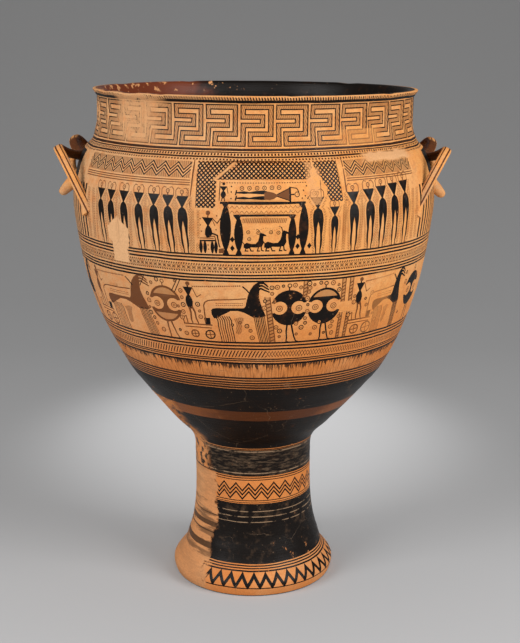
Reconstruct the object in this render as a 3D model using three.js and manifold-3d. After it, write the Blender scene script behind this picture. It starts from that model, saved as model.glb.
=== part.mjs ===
// A monumental painted-pottery krater: a deep round bowl with a low upright neck, a double-loop
// handle on each side, and a tall hollow foot. It was thrown in sections and joined before firing,
// so it is one piece of fired clay. Millimetres, +Z up, foot ring on z = 0, front towards -Y.
import * as THREE from "three";
import { mergeVertices } from "three/addons/utils/BufferGeometryUtils.js";
import Module from "manifold-3d";

// Driving dimensions
const HEIGHT = 1083;
const WALL = 14;
const SEGMENTS = 60;
const BOWL_FLOOR = 352;         // inside bottom of the bowl, on the axis
const FOOT_HOLLOW_TOP = 326;    // top of the hollow under the bowl, on the axis

// The bowl settled a third of a degree to one side in the kiln, on a foot that stands true
const LEAN = 0.0066;
const LEAN_FROM = 120;
const LEAN_FULL = 320;
// The centre line of the wall, [height, shift along X]
const CENTRE_LINE = [
  [0, 0], [120, 1.5], [340, 0.5], [420, 3.5], [520, 6.5], [620, 4], [800, 3.5], [1000, 6], [1083, 7],
];

// Outside profile, [radius, height], in three runs with a crease between them
const FOOT_PROFILE = [
  [176, 3], [182, 24], [174, 40], [157, 62], [147, 92], [138.5, 122], [132.5, 165], [130, 215],
  [130.5, 303],
];
const BOWL_PROFILE = [
  [134, 320], [147, 340], [175, 367], [221, 420], [254, 460], [284, 500], [324.5, 580], [353.5, 660],
  [372, 740], [383.5, 820], [386, 858], [384, 886], [379, 910], [371, 938], [358, 964],
];
const NECK_PROFILE = [
  [346, 974], [336, 1000], [331.5, 1034], [332.5, 1060], [337, 1072], [341.5, 1080],
];
const LIP_EDGE = [[340.5, 1082.3], [338.5, 1083]];

// Handles: two strap arches side by side, springing from one root high on the shoulder, with a
// brow under the root that runs down into a blunt muzzle
const HANDLE_SHIFT = -4.1;       // both handles sit this far along X from a true pair
const STRAP_WIDTH = 20;
const STRAP_THICKNESS = 14;
const STRAP_CORNER = 4;
const STRAP_STEPS = 14;
const ARCH_ROOT = { x: 375, z: 866 };
const ARCH_TILT = THREE.MathUtils.degToRad(25);
const ARCH_TURN = THREE.MathUtils.degToRad(12);
// One arch: [distance from the middle, height up its leaning plane, how far behind the plane]
const ARCH_LINE = [
  [196, -26, 0], [182, 10, 0], [163, 58, 0], [143, 92, 0], [116, 107, 0], [88, 102, 3], [60, 88, 11],
  [32, 73, 24], [4, 62, 37],
];
const BROW = { x: 386, z: 908, out: 8, half: 14, up: 34 };
const MUZZLE = { x: 374, z: 893, length: 56, root: 15, tip: 10, droop: 45 };

const wasm = await Module();
wasm.setup();

/** A closed three.js geometry as a manifold-3d solid. */
function toSolid(geometry) {
  const bare = geometry.clone();
  bare.deleteAttribute("normal");
  bare.deleteAttribute("uv");
  const merged = mergeVertices(bare, 1e-4);
  const corners = merged.index.array;
  const kept = [];
  for (let i = 0; i < corners.length; i += 3) {
    const [a, b, c] = [corners[i], corners[i + 1], corners[i + 2]];
    if (a !== b && b !== c && c !== a) kept.push(a, b, c);
  }
  return new wasm.Manifold(new wasm.Mesh({
    numProp: 3,
    vertProperties: new Float32Array(merged.attributes.position.array),
    triVerts: new Uint32Array(kept),
  }));
}

/** A manifold-3d solid back as a three.js geometry. */
function toGeometry(solid) {
  const mesh = solid.getMesh();
  const geometry = new THREE.BufferGeometry();
  geometry.setAttribute("position", new THREE.BufferAttribute(mesh.vertProperties, 3));
  geometry.setIndex(new THREE.BufferAttribute(mesh.triVerts, 1));
  return geometry;
}

/** Points along a smooth run of profile, with the given steps between measured points. */
function run(profile, steps) {
  const knots = profile.map(([radius, height]) => new THREE.Vector2(radius, height));
  return new THREE.SplineCurve(knots).getPoints((profile.length - 1) * steps);
}

/** A profile that starts and ends on the axis, turned once round it and stood up along +Z. */
function turned(profile) {
  return new THREE.LatheGeometry(profile, SEGMENTS).rotateX(Math.PI / 2);
}

/** A run of profile moved inwards by the wall thickness, square to itself. */
function inwards(points) {
  return points.map((point, i) => {
    const before = points[Math.max(i - 1, 0)];
    const after = points[Math.min(i + 1, points.length - 1)];
    const along = after.clone().sub(before).normalize();
    return new THREE.Vector2(point.x - along.y * WALL, point.y + along.x * WALL);
  });
}

/** The vessel filled solid, from the flat foot ring to the rounded lip. */
function outside() {
  const ring = FOOT_PROFILE[0][0] - 3;
  return turned([
    new THREE.Vector2(0, 0),
    new THREE.Vector2(ring, 0),
    ...run(FOOT_PROFILE, 1),
    ...run(BOWL_PROFILE, 1),
    ...run(NECK_PROFILE, 1),
    ...run(LIP_EDGE, 1),
    new THREE.Vector2(0, HEIGHT),
  ]);
}

/** The room inside the bowl and neck, open past the lip. */
function bowlRoom() {
  const wallRun = inwards([...run(BOWL_PROFILE, 1).slice(3), ...run(NECK_PROFILE, 1)]);
  const [radius, height] = [wallRun[0].x, wallRun[0].y];
  const lip = wallRun.at(-1).x;
  return turned([
    new THREE.Vector2(0, BOWL_FLOOR),
    new THREE.Vector2(radius * 0.45, BOWL_FLOOR + (height - BOWL_FLOOR) * 0.12),
    new THREE.Vector2(radius * 0.78, BOWL_FLOOR + (height - BOWL_FLOOR) * 0.5),
    ...wallRun,
    new THREE.Vector2(lip + 1, HEIGHT - 1),
    new THREE.Vector2(lip + 3, HEIGHT + 2),
    new THREE.Vector2(0, HEIGHT + 2),
  ]);
}

/** The hollow of the foot, open underneath. */
function footRoom() {
  const wallRun = inwards(run(FOOT_PROFILE.slice(2), 1));
  const top = wallRun.at(-1).x;
  const mouth = FOOT_PROFILE[0][0] - WALL * 1.6;
  return turned([
    new THREE.Vector2(0, -2),
    new THREE.Vector2(mouth, -2),
    new THREE.Vector2(mouth, 14),
    ...wallRun,
    new THREE.Vector2(top * 0.72, FOOT_HOLLOW_TOP - 7),
    new THREE.Vector2(top * 0.4, FOOT_HOLLOW_TOP - 1),
    new THREE.Vector2(0, FOOT_HOLLOW_TOP),
  ]);
}

/** The strap's section: a flat band with eased corners. */
function strapSection() {
  const [w, t, c] = [STRAP_WIDTH / 2, STRAP_THICKNESS / 2, STRAP_CORNER];
  const corners = [
    [-w + c, -t], [w - c, -t], [w, -t + c], [w, t - c], [w - c, t], [-w + c, t], [-w, t - c], [-w, -t + c],
  ];
  return new THREE.Shape(corners.map(([x, y]) => new THREE.Vector2(x, y)));
}

/** A strap's centre line whose section keeps its width square to one plane all the way along. */
class StrapLine extends THREE.CatmullRomCurve3 {
  computeFrenetFrames(steps) {
    const frames = { tangents: [], normals: [], binormals: [] };
    for (let i = 0; i <= steps; i += 1) {
      const tangent = this.getTangentAt(i / steps);
      const across = new THREE.Vector3(0, 0, 1).addScaledVector(tangent, -tangent.z).normalize();
      frames.tangents.push(tangent);
      frames.normals.push(across);
      frames.binormals.push(new THREE.Vector3().crossVectors(tangent, across));
    }
    return frames;
  }
}

/** One strap arch on the +X side. `side` is -1 for the front arch and +1 for the back one. */
function arch(side) {
  const knots = ARCH_LINE.map(([away, up, behind]) => new THREE.Vector3(side * away, up, -behind));
  const strap = new THREE.ExtrudeGeometry(strapSection(), {
    steps: STRAP_STEPS,
    extrudePath: new StrapLine(knots),
  });
  const alongY = new THREE.Vector3(0, 1, 0);
  const upPlane = new THREE.Vector3(Math.sin(ARCH_TILT), 0, Math.cos(ARCH_TILT));
  const outwards = new THREE.Vector3().crossVectors(alongY, upPlane);
  strap.applyMatrix4(new THREE.Matrix4().makeBasis(alongY, upPlane, outwards));
  return strap.rotateZ(side * ARCH_TURN).translate(ARCH_ROOT.x, 0, ARCH_ROOT.z);
}

/** The swelling under the root of the two arches, on the +X side. */
function brow() {
  const swelling = new THREE.SphereGeometry(1, 12, 8);
  return swelling.scale(BROW.out, BROW.half, BROW.up).translate(BROW.x, 0, BROW.z);
}

/** The blunt muzzle that the brow runs down into, on the +X side. */
function muzzle() {
  const profile = [[0, -12], [0.95, -10], [1, 0]].map(([k, z]) => new THREE.Vector2(k * MUZZLE.root, z));
  for (const turn of [0, 30, 60, 90]) {
    const angle = THREE.MathUtils.degToRad(turn);
    const radius = MUZZLE.tip * Math.cos(angle);
    profile.push(new THREE.Vector2(radius, MUZZLE.length - MUZZLE.tip * (1 - Math.sin(angle))));
  }
  profile.at(-1).x = 0;
  const body = new THREE.LatheGeometry(profile, 12).rotateX(Math.PI / 2);
  body.rotateY(THREE.MathUtils.degToRad(90 + MUZZLE.droop));
  return body.translate(MUZZLE.x, 0, MUZZLE.z);
}

/** A whole handle: two arches, brow and muzzle, turned to the -X side when `left` is true. */
function handle(left) {
  return [arch(-1), arch(1), brow(), muzzle()].map((piece) => {
    if (left) piece.rotateZ(Math.PI);
    return toSolid(piece.translate(HANDLE_SHIFT, 0, 0));
  });
}

/** Lean the bowl over on its true foot, and let its centre line wander as thrown clay does. */
function leanOver(geometry) {
  const line = CENTRE_LINE.map(([height, shift]) => new THREE.Vector2(height, shift));
  const wander = new THREE.SplineCurve(line).getPoints(400);
  const position = geometry.attributes.position;
  for (let i = 0; i < position.count; i += 1) {
    const [x, z] = [position.getX(i), position.getZ(i)];
    const after = Math.max(wander.findIndex((point) => point.x >= z), 0);
    const share = THREE.MathUtils.smoothstep(z, LEAN_FROM, LEAN_FULL);
    position.setX(i, x + wander[after].y);
    position.setZ(i, z - LEAN * share * x);
  }
  return geometry;
}

let clay = toSolid(outside());
for (const piece of [...handle(false), ...handle(true)]) clay = clay.add(piece);
clay = clay.subtract(toSolid(bowlRoom())).subtract(toSolid(footRoom()));

const krater = new THREE.Mesh(
  leanOver(toGeometry(clay)),
  new THREE.MeshStandardMaterial({ color: 0xb5713c, roughness: 0.62, metalness: 0 }),
);
krater.name = "krater";

const vessel = new THREE.Group();
vessel.add(krater);

export default vessel;
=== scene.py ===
"""A monumental painted krater of fired clay, thrown, painted in dark slip and worn by its burial.

Sizes are in millimetres, as the potter and painter measure them, and turned into metres as meshes are made.
"""

import logging
import math
from dataclasses import dataclass, field
from enum import Enum
from functools import reduce
from operator import or_
from typing import Iterable

import bmesh
import bpy
import numpy as np
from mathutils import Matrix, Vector
from mathutils.geometry import delaunay_2d_cdt


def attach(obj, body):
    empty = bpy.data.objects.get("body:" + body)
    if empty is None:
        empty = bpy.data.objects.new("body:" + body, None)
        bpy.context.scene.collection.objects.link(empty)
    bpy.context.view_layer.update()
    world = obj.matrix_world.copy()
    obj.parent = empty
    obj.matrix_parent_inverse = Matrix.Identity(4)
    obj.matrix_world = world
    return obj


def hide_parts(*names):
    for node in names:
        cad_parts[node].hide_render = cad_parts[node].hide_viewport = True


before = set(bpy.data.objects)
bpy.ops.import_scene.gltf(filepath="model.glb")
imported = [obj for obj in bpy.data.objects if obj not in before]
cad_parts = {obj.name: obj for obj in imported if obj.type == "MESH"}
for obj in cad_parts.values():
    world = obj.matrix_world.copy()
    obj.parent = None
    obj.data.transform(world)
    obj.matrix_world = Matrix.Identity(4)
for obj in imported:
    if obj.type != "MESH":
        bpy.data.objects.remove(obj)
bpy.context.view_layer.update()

log = logging.getLogger("krater")

MM = 0.001
Point = tuple[float, float]


# ---------------------------------------------------------------- the thrown form

HEIGHT = 1083.0
WALL = 14.0
BOWL_FLOOR = 352.0
FOOT_HOLLOW_TOP = 326.0
LEAN = 0.0066
LEAN_FROM = 120.0
LEAN_FULL = 320.0
CENTRE_LINE = [
    (0, 0), (120, 1.5), (340, 0.5), (420, 3.5), (520, 6.5), (620, 4), (800, 3.5), (1000, 6), (1083, 7),
]
FOOT_PROFILE = [
    (176, 3), (182, 24), (174, 40), (157, 62), (147, 92), (138.5, 122), (132.5, 165), (130, 215),
    (130.5, 303),
]
BOWL_PROFILE = [
    (134, 320), (147, 340), (175, 367), (221, 420), (254, 460), (284, 500), (324.5, 580), (353.5, 660),
    (372, 740), (383.5, 820), (386, 858), (384, 886), (379, 910), (371, 938), (358, 964),
]
NECK_PROFILE = [(346, 974), (336, 1000), (331.5, 1034), (332.5, 1060), (337, 1072), (341.5, 1080)]
LIP_EDGE = [(340.5, 1082.3), (338.5, 1083)]

# Heights of the painted bands, lowest and highest, and of the lines that the figures stand on
FOOT_ZONE = (66.0, 196.0)
STEM_ZONE = (258.8, 320.0)
LOWER_ZONE = (325.0, 413.0)
BROWN_BAND = (413.0, 439.5)
UPPER_ZONE = (439.5, 502.5)
LOW_LINES = (504.0, 532.0)
FRINGE = (531.0, 563.5)
STROKE_BAND = (576.0, 594.0)
LOZENGE_BAND = (756.0, 774.0)
DOT_BANDS = (962.0, 990.0)
CHARIOTS_STAND = 613.0
MOURNERS_STAND = 792.0

# How far the painted rings run out of true with the wall: [height, rise per unit to the right]
RING_TILT = [
    (0, 0), (300, 0), (410, -0.008), (500, -0.007), (600, 0.001), (740, 0.0055), (970, 0.0055),
    (1050, 0.003), (1076, 0),
]


def smooth_run(knots: list[Point], steps: int) -> list[Point]:
    """A smooth line through knots.

    Args:
        knots: the points that it passes through.
        steps: how many steps it takes from one knot to the next.

    Returns:
        The points along it, both ends included.
    """
    line = []
    for i in range(len(knots) - 1):
        quad = [np.array(knots[min(max(i + k, 0), len(knots) - 1)], float) for k in (-1, 0, 1, 2)]
        for j in range(steps):
            t = j / steps
            out, into = (quad[2] - quad[0]) / 2, (quad[3] - quad[1]) / 2
            rise = quad[2] - quad[1]
            at = quad[1] + out * t + (3 * rise - 2 * out - into) * t**2 + (out + into - 2 * rise) * t**3
            line.append(tuple(at))
    line.append(tuple(map(float, knots[-1])))
    return line


def eased(value: np.ndarray, low: float, high: float) -> np.ndarray:
    """0 below low, 1 above high and smooth in between."""
    share = np.clip((value - low) / (high - low), 0, 1)
    return share * share * (3 - 2 * share)


class Form:
    """The vessel's profile and how it stands: lean, wandering centre line and small dents."""

    def __init__(self) -> None:
        """Runs the outside profile and the centre line smooth."""
        runs = [smooth_run(part, 6) for part in (FOOT_PROFILE, BOWL_PROFILE, NECK_PROFILE, LIP_EDGE)]
        self.outer = np.array([point for part in runs for point in part])
        self.low, self.high = self.outer[0][1], LIP_EDGE[0][1]
        self.wander = np.array(smooth_run(CENTRE_LINE, 12))

    def radius(self, height: np.ndarray) -> np.ndarray:
        """The outside radius at a height."""
        return np.interp(height, self.outer[:, 1], self.outer[:, 0])

    def inward_run(self, knots: list[Point]) -> list[Point]:
        """A run of the outside profile moved in by the wall thickness, square to itself."""
        line = np.array(smooth_run(knots, 2))
        along = np.gradient(line, axis=0)
        along /= np.linalg.norm(along, axis=1)[:, None]
        return [tuple(p) for p in line + WALL * np.stack([-along[:, 1], along[:, 0]], 1)]

    def bowl_room(self) -> list[Point]:
        """The inside of neck and bowl, from the lip down to the middle of the floor."""
        wall = [p for p in self.inward_run(BOWL_PROFILE[3:]) + self.inward_run(NECK_PROFILE) if p[1] < 1072]
        radius, height = wall[0]
        rise = height - BOWL_FLOOR
        floor = [
            (0.0, BOWL_FLOOR), (radius * 0.22, BOWL_FLOOR + rise * 0.03),
            (radius * 0.45, BOWL_FLOOR + rise * 0.12),
        ]
        floor += [(radius * 0.63, BOWL_FLOOR + rise * 0.28), (radius * 0.78, BOWL_FLOOR + rise * 0.5)]
        top = wall[-1][0]
        lip = [
            (top + 2.2, HEIGHT - 5), (top + 4, HEIGHT - 1.6), (top + 6.5, HEIGHT - 0.3), (top + 10, HEIGHT),
        ]
        return (floor + wall + lip)[::-1]

    def foot_room(self) -> list[Point]:
        """The underside, from the foot ring's outer edge up to the middle of the hollow."""
        wall = self.inward_run(FOOT_PROFILE[2:])
        mouth = FOOT_PROFILE[0][0] - WALL * 1.6
        top = wall[-1][0]
        ring = [(174.8, 1.0), (172.6, 0.0), (163.0, 0.0), (mouth + 2, 0.0), (mouth, 2.0), (mouth, 14.0)]
        crown = [
            (top * 0.9, FOOT_HOLLOW_TOP - 12), (top * 0.72, FOOT_HOLLOW_TOP - 7),
            (top * 0.4, FOOT_HOLLOW_TOP - 1),
        ]
        return ring + wall + crown + [(0.0, FOOT_HOLLOW_TOP)]

    def dents(self, angle: np.ndarray, height: np.ndarray) -> np.ndarray:
        """How far the hand-built wall stands in or out from true."""
        slow = 0.45 * np.sin(3 * angle + 0.7 + height / 170) + 0.35 * np.sin(5 * angle - height / 90)
        ridges = (
            0.16 * np.sin(height / 3.4 + 1.3 * np.sin(angle * 2)) + 0.1 * np.sin(height / 1.9 + 2 * angle)
        )
        lumps = 0.22 * np.sin(17 * angle + height / 23) * np.sin(height / 31 + 11 * angle)
        return (slow + ridges + lumps - 1.3) * eased(height, 4, 30) * eased(height, 1082, 1074)

    def lift(self, angle: np.ndarray, painted: np.ndarray) -> tuple[np.ndarray, np.ndarray]:
        """The true height and radius where a painted height comes to lie.

        Args:
            angle: azimuth in radians.
            painted: height as the painter's rings count it.

        Returns:
            The true height, and the outside radius there.
        """
        tilt = np.interp(painted, [z for z, _ in RING_TILT], [t for _, t in RING_TILT])
        true = painted + tilt * self.radius(painted) * np.sin(angle)
        return true, self.radius(true)

    def stand(self, angle: np.ndarray, radius: np.ndarray, height: np.ndarray) -> np.ndarray:
        """Points of the finished vessel, in metres.

        Args:
            angle: azimuth in radians, 0 at the front and positive to the right.
            radius: distance from the axis.
            height: height above the ground.

        Returns:
            One row of three for each point.
        """
        x = radius * np.sin(angle)
        y = -radius * np.cos(angle)
        shift = np.interp(height, self.wander[:, 0], self.wander[:, 1])
        z = height - LEAN * eased(height, LEAN_FROM, LEAN_FULL) * x
        return np.stack([x + shift, y, z], -1) * MM


# ---------------------------------------------------------------- the painter's drawing

class Tone(Enum):
    """What the painter or the years left on a spot of the wall."""

    CLAY = 0.0
    CHEVRONS = 0.15
    HATCHED = 0.25
    THIN = 0.35
    BROWN = 0.5
    CHEQUERED = 0.75
    SLIP = 1.0


@dataclass
class Drawing:
    """Every outline painted on the wall, in degrees round and millimetres up, later over earlier."""

    form: Form
    outlines: list[list[Point]] = field(default_factory=list)
    tones: list[Tone] = field(default_factory=list)

    def area(self, outline: Iterable[Point], tone: Tone = Tone.SLIP) -> None:
        """Fills an outline, in parts where it runs over the seam at the back."""
        points = list(outline)
        for turn in (-360.0, 0.0, 360.0):
            part = self.beside(self.beside([(a + turn, z) for a, z in points], 1.0), -1.0)
            if len(part) < 3:
                continue
            twice = sum(a[0] * b[1] - b[0] * a[1] for a, b in zip(part, part[1:] + part[:1]))
            self.outlines.append(part if twice > 0 else part[::-1])
            self.tones.append(tone)

    @staticmethod
    def beside(points: list[Point], side: float) -> list[Point]:
        """The part of an outline that doesn't pass the seam.

        Args:
            points: the outline.
            side: 1 for the seam's right edge, -1 for its left.

        Returns:
            The outline cut off at half a turn.
        """
        kept = []
        for (a0, z0), (a1, z1) in zip(points, points[1:] + points[:1]):
            in0, in1 = side * a0 <= 180.0, side * a1 <= 180.0
            if in0:
                kept.append((a0, z0))
            if in0 != in1:
                t = (side * 180.0 - a0) / (a1 - a0)
                kept.append((side * 180.0, z0 + t * (z1 - z0)))
        return kept

    def brush(self, azimuth: float, height: float, scale: float = 1.0) -> "Brush":
        """A brush that draws in millimetres round a spot of the wall."""
        degree = float(self.form.radius(height)) * math.pi / 180
        return Brush(self, azimuth, height, degree, scale)


@dataclass
class Brush:
    """Draws in millimetres, x to the right and y up, round one spot of the wall."""

    drawing: Drawing
    azimuth: float
    height: float
    degree: float
    scale: float

    def put(self, x: float, y: float) -> Point:
        """A drawn point as a point of the wall."""
        return self.azimuth + x * self.scale / self.degree, self.height + y * self.scale

    def area(self, points: Iterable[Point], tone: Tone = Tone.SLIP) -> None:
        """Fills an outline."""
        self.drawing.area([self.put(*point) for point in points], tone)

    def stroke(
        self, points: list[Point], width: float, tone: Tone = Tone.SLIP, tip: float | None = None,
    ) -> None:
        """A brush line through points.

        Args:
            points: the middle of the line.
            width: its width, at its start if it tapers.
            tone: what it is painted in.
            tip: its width at the end, or None where it stays the same.
        """
        left, right = [], []
        last = len(points) - 1
        for i, (x, y) in enumerate(points):
            back, ahead = points[max(i - 1, 0)], points[min(i + 1, last)]
            normals = []
            for (ax, ay), (bx, by) in ((back, (x, y)), ((x, y), ahead)):
                length = math.hypot(bx - ax, by - ay)
                if length > 0:
                    normals.append((-(by - ay) / length, (bx - ax) / length))
            nx, ny = sum(n[0] for n in normals), sum(n[1] for n in normals)
            size = math.hypot(nx, ny) or 1.0
            nx, ny = nx / size, ny / size
            mitre = 1 / max(0.45, nx * normals[0][0] + ny * normals[0][1])
            here = width if tip is None else width + (tip - width) * i / last
            reach = here / 2 * mitre
            left.append((x + nx * reach, y + ny * reach))
            right.append((x - nx * reach, y - ny * reach))
        self.area(left + right[::-1], tone)

    def disc(
        self, x: float, y: float, radius: float, tone: Tone = Tone.SLIP, sides: int = 8, tall: float = 1.0,
    ) -> None:
        """A round spot, or an upright oval where tall isn't 1."""
        turn = [2 * math.pi * (i + 0.5) / sides for i in range(sides)]
        self.area([(x + radius * math.cos(a), y + tall * radius * math.sin(a)) for a in turn], tone)

    def ring(
        self, x: float, y: float, radius: float, width: float, tone: Tone = Tone.SLIP, sides: int = 12,
    ) -> None:
        """A ring with clay inside."""
        self.disc(x, y, radius, tone, sides)
        self.disc(x, y, radius - width, Tone.CLAY, sides)

    def eye(self, x: float, y: float, radius: float = 4.0) -> None:
        """A ring with a dot in the middle, the filling ornament."""
        self.ring(x, y, radius, 1.3, sides=10)
        self.disc(x, y, radius * 0.3, sides=5)

    def lens(self, x: float, low: float, high: float, half: float, tone: Tone = Tone.SLIP) -> None:
        """An upright lens, the shape of a turned leg."""
        steps = [i / 8 for i in range(9)]
        side = [(half * math.sin(math.pi * t) ** 0.8 + 0.9, low + (high - low) * t) for t in steps]
        self.area([(x + w, y) for w, y in side] + [(x - w, y) for w, y in reversed(side)], tone)


@dataclass
class Meander:
    """The battlement meander round the neck: one outlined, hatched band that never breaks."""

    front_units: int = 14
    front_start: float = -84.25
    front_pitch: float = 11.42
    all_units: int = 32
    band: float = 10.4
    inside: float = 6.1

    def turns(self, pitch: float) -> list[Point]:
        """The middle of the band through one unit.

        Args:
            pitch: the unit's width, in millimetres.

        Returns:
            Its corners, the left edge of the unit at 0 and heights as on the vessel.
        """
        k = pitch / 35.3
        low, second, third, fourth, top = 994.5, 1012.3, 1028.3, 1043.9, 1061.8
        return [
            (-24 * k, low), (2.2 * k, low), (2.2 * k, third), (21.3 * k, third), (21.3 * k, fourth),
            (2.0 * k, fourth),
            (2.0 * k, top), (29.5 * k, top), (29.5 * k, second), (9.5 * k, second), (9.5 * k, low),
            (12.5 * k, low),
        ]

    def paint(self, drawing: Drawing) -> None:
        """Paints every unit, first the dark band and then its inside."""
        back_pitch = (360 - self.front_units * self.front_pitch) / (self.all_units - self.front_units)
        units, at = [], self.front_start
        for i in range(self.all_units):
            pitch = self.front_pitch if i < self.front_units else back_pitch
            units.append((at, pitch))
            at += pitch
        for width, tone in ((self.band, Tone.SLIP), (self.inside, Tone.HATCHED)):
            for start, pitch in units:
                brush = drawing.brush(start, 0.0)
                brush.degree = float(drawing.form.radius(1030.0)) * math.pi / 180
                brush.stroke(self.turns(pitch * brush.degree), width, tone)


@dataclass
class Mourner:
    """A standing mourner: triangular chest, arms raised to the head, lens-shaped hips and long legs."""

    azimuth: float
    top: float
    sway: float = 0.0
    slim: float = 1.0

    ground = MOURNERS_STAND
    tall = 112.0
    chevron_rim = 7.4
    clay_rim = 2.8

    leg_out = (
        (0.0, 92), (3.0, 90), (7.6, 86), (10.0, 78), (10.6, 68), (9.8, 58), (8.8, 48), (7.6, 38), (8.2, 28),
        (7.6, 16), (5.4, 7), (5.6, 0),
    )
    leg_in = ((3.2, 0), (3.1, 8), (3.7, 18), (3.9, 30), (3.3, 40), (2.6, 52), (-0.4, 66))

    def paint(self, drawing: Drawing) -> None:
        """Paints the figure, with a reserved rim and rows of chevrons round it."""
        brush = drawing.brush(self.azimuth, self.ground, (self.top - self.ground) / self.tall)

        def at(points: Iterable[Point], wider: float = 0.0) -> list[Point]:
            """Points narrowed and swayed as this figure is, and moved outwards."""
            return [
                (x * self.slim + math.copysign(wider, x) + self.sway * (1 - y / self.tall), y)
                for x, y in points
            ]

        half = [
            (4.4, 0), (5.6, 15), (7.0, 33), (8.4, 52), (10.2, 70), (8.0, 85), (3.4, 91), (8.5, 101),
            (14.0, 112),
        ]
        shape = half + [(-x, y) for x, y in reversed(half)]
        brush.area(at(shape, self.chevron_rim), Tone.CHEVRONS)
        brush.area(at(shape, self.clay_rim), Tone.CLAY)
        for side in (-1, 1):
            foot = (side * 4.4 + 6.0, 0.0)
            out = [(side * x, y) for x, y in self.leg_out]
            inner = [(side * x, y) for x, y in self.leg_in]
            brush.area(at(out + ([foot] if side > 0 else []) + inner))
            arm = at([(side * 12.8, 111), (side * 13.2, 122), (side * 9.0, 127), (side * 3.5, 125.5)])
            brush.stroke(arm, 1.6, Tone.BROWN)
        brush.area(at([(-14, 112), (14, 112), (1.8, 91), (-1.8, 91)]))
        brush.stroke(at([(0, 111), (0, 116)]), 3.0, Tone.BROWN)
        brush.ring(*at([(0, 119.5)])[0], 4.6, 1.8, Tone.BROWN, sides=9)
        brush.disc(*at([(0.6, 119.8)])[0], 1.3, sides=4)


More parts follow.
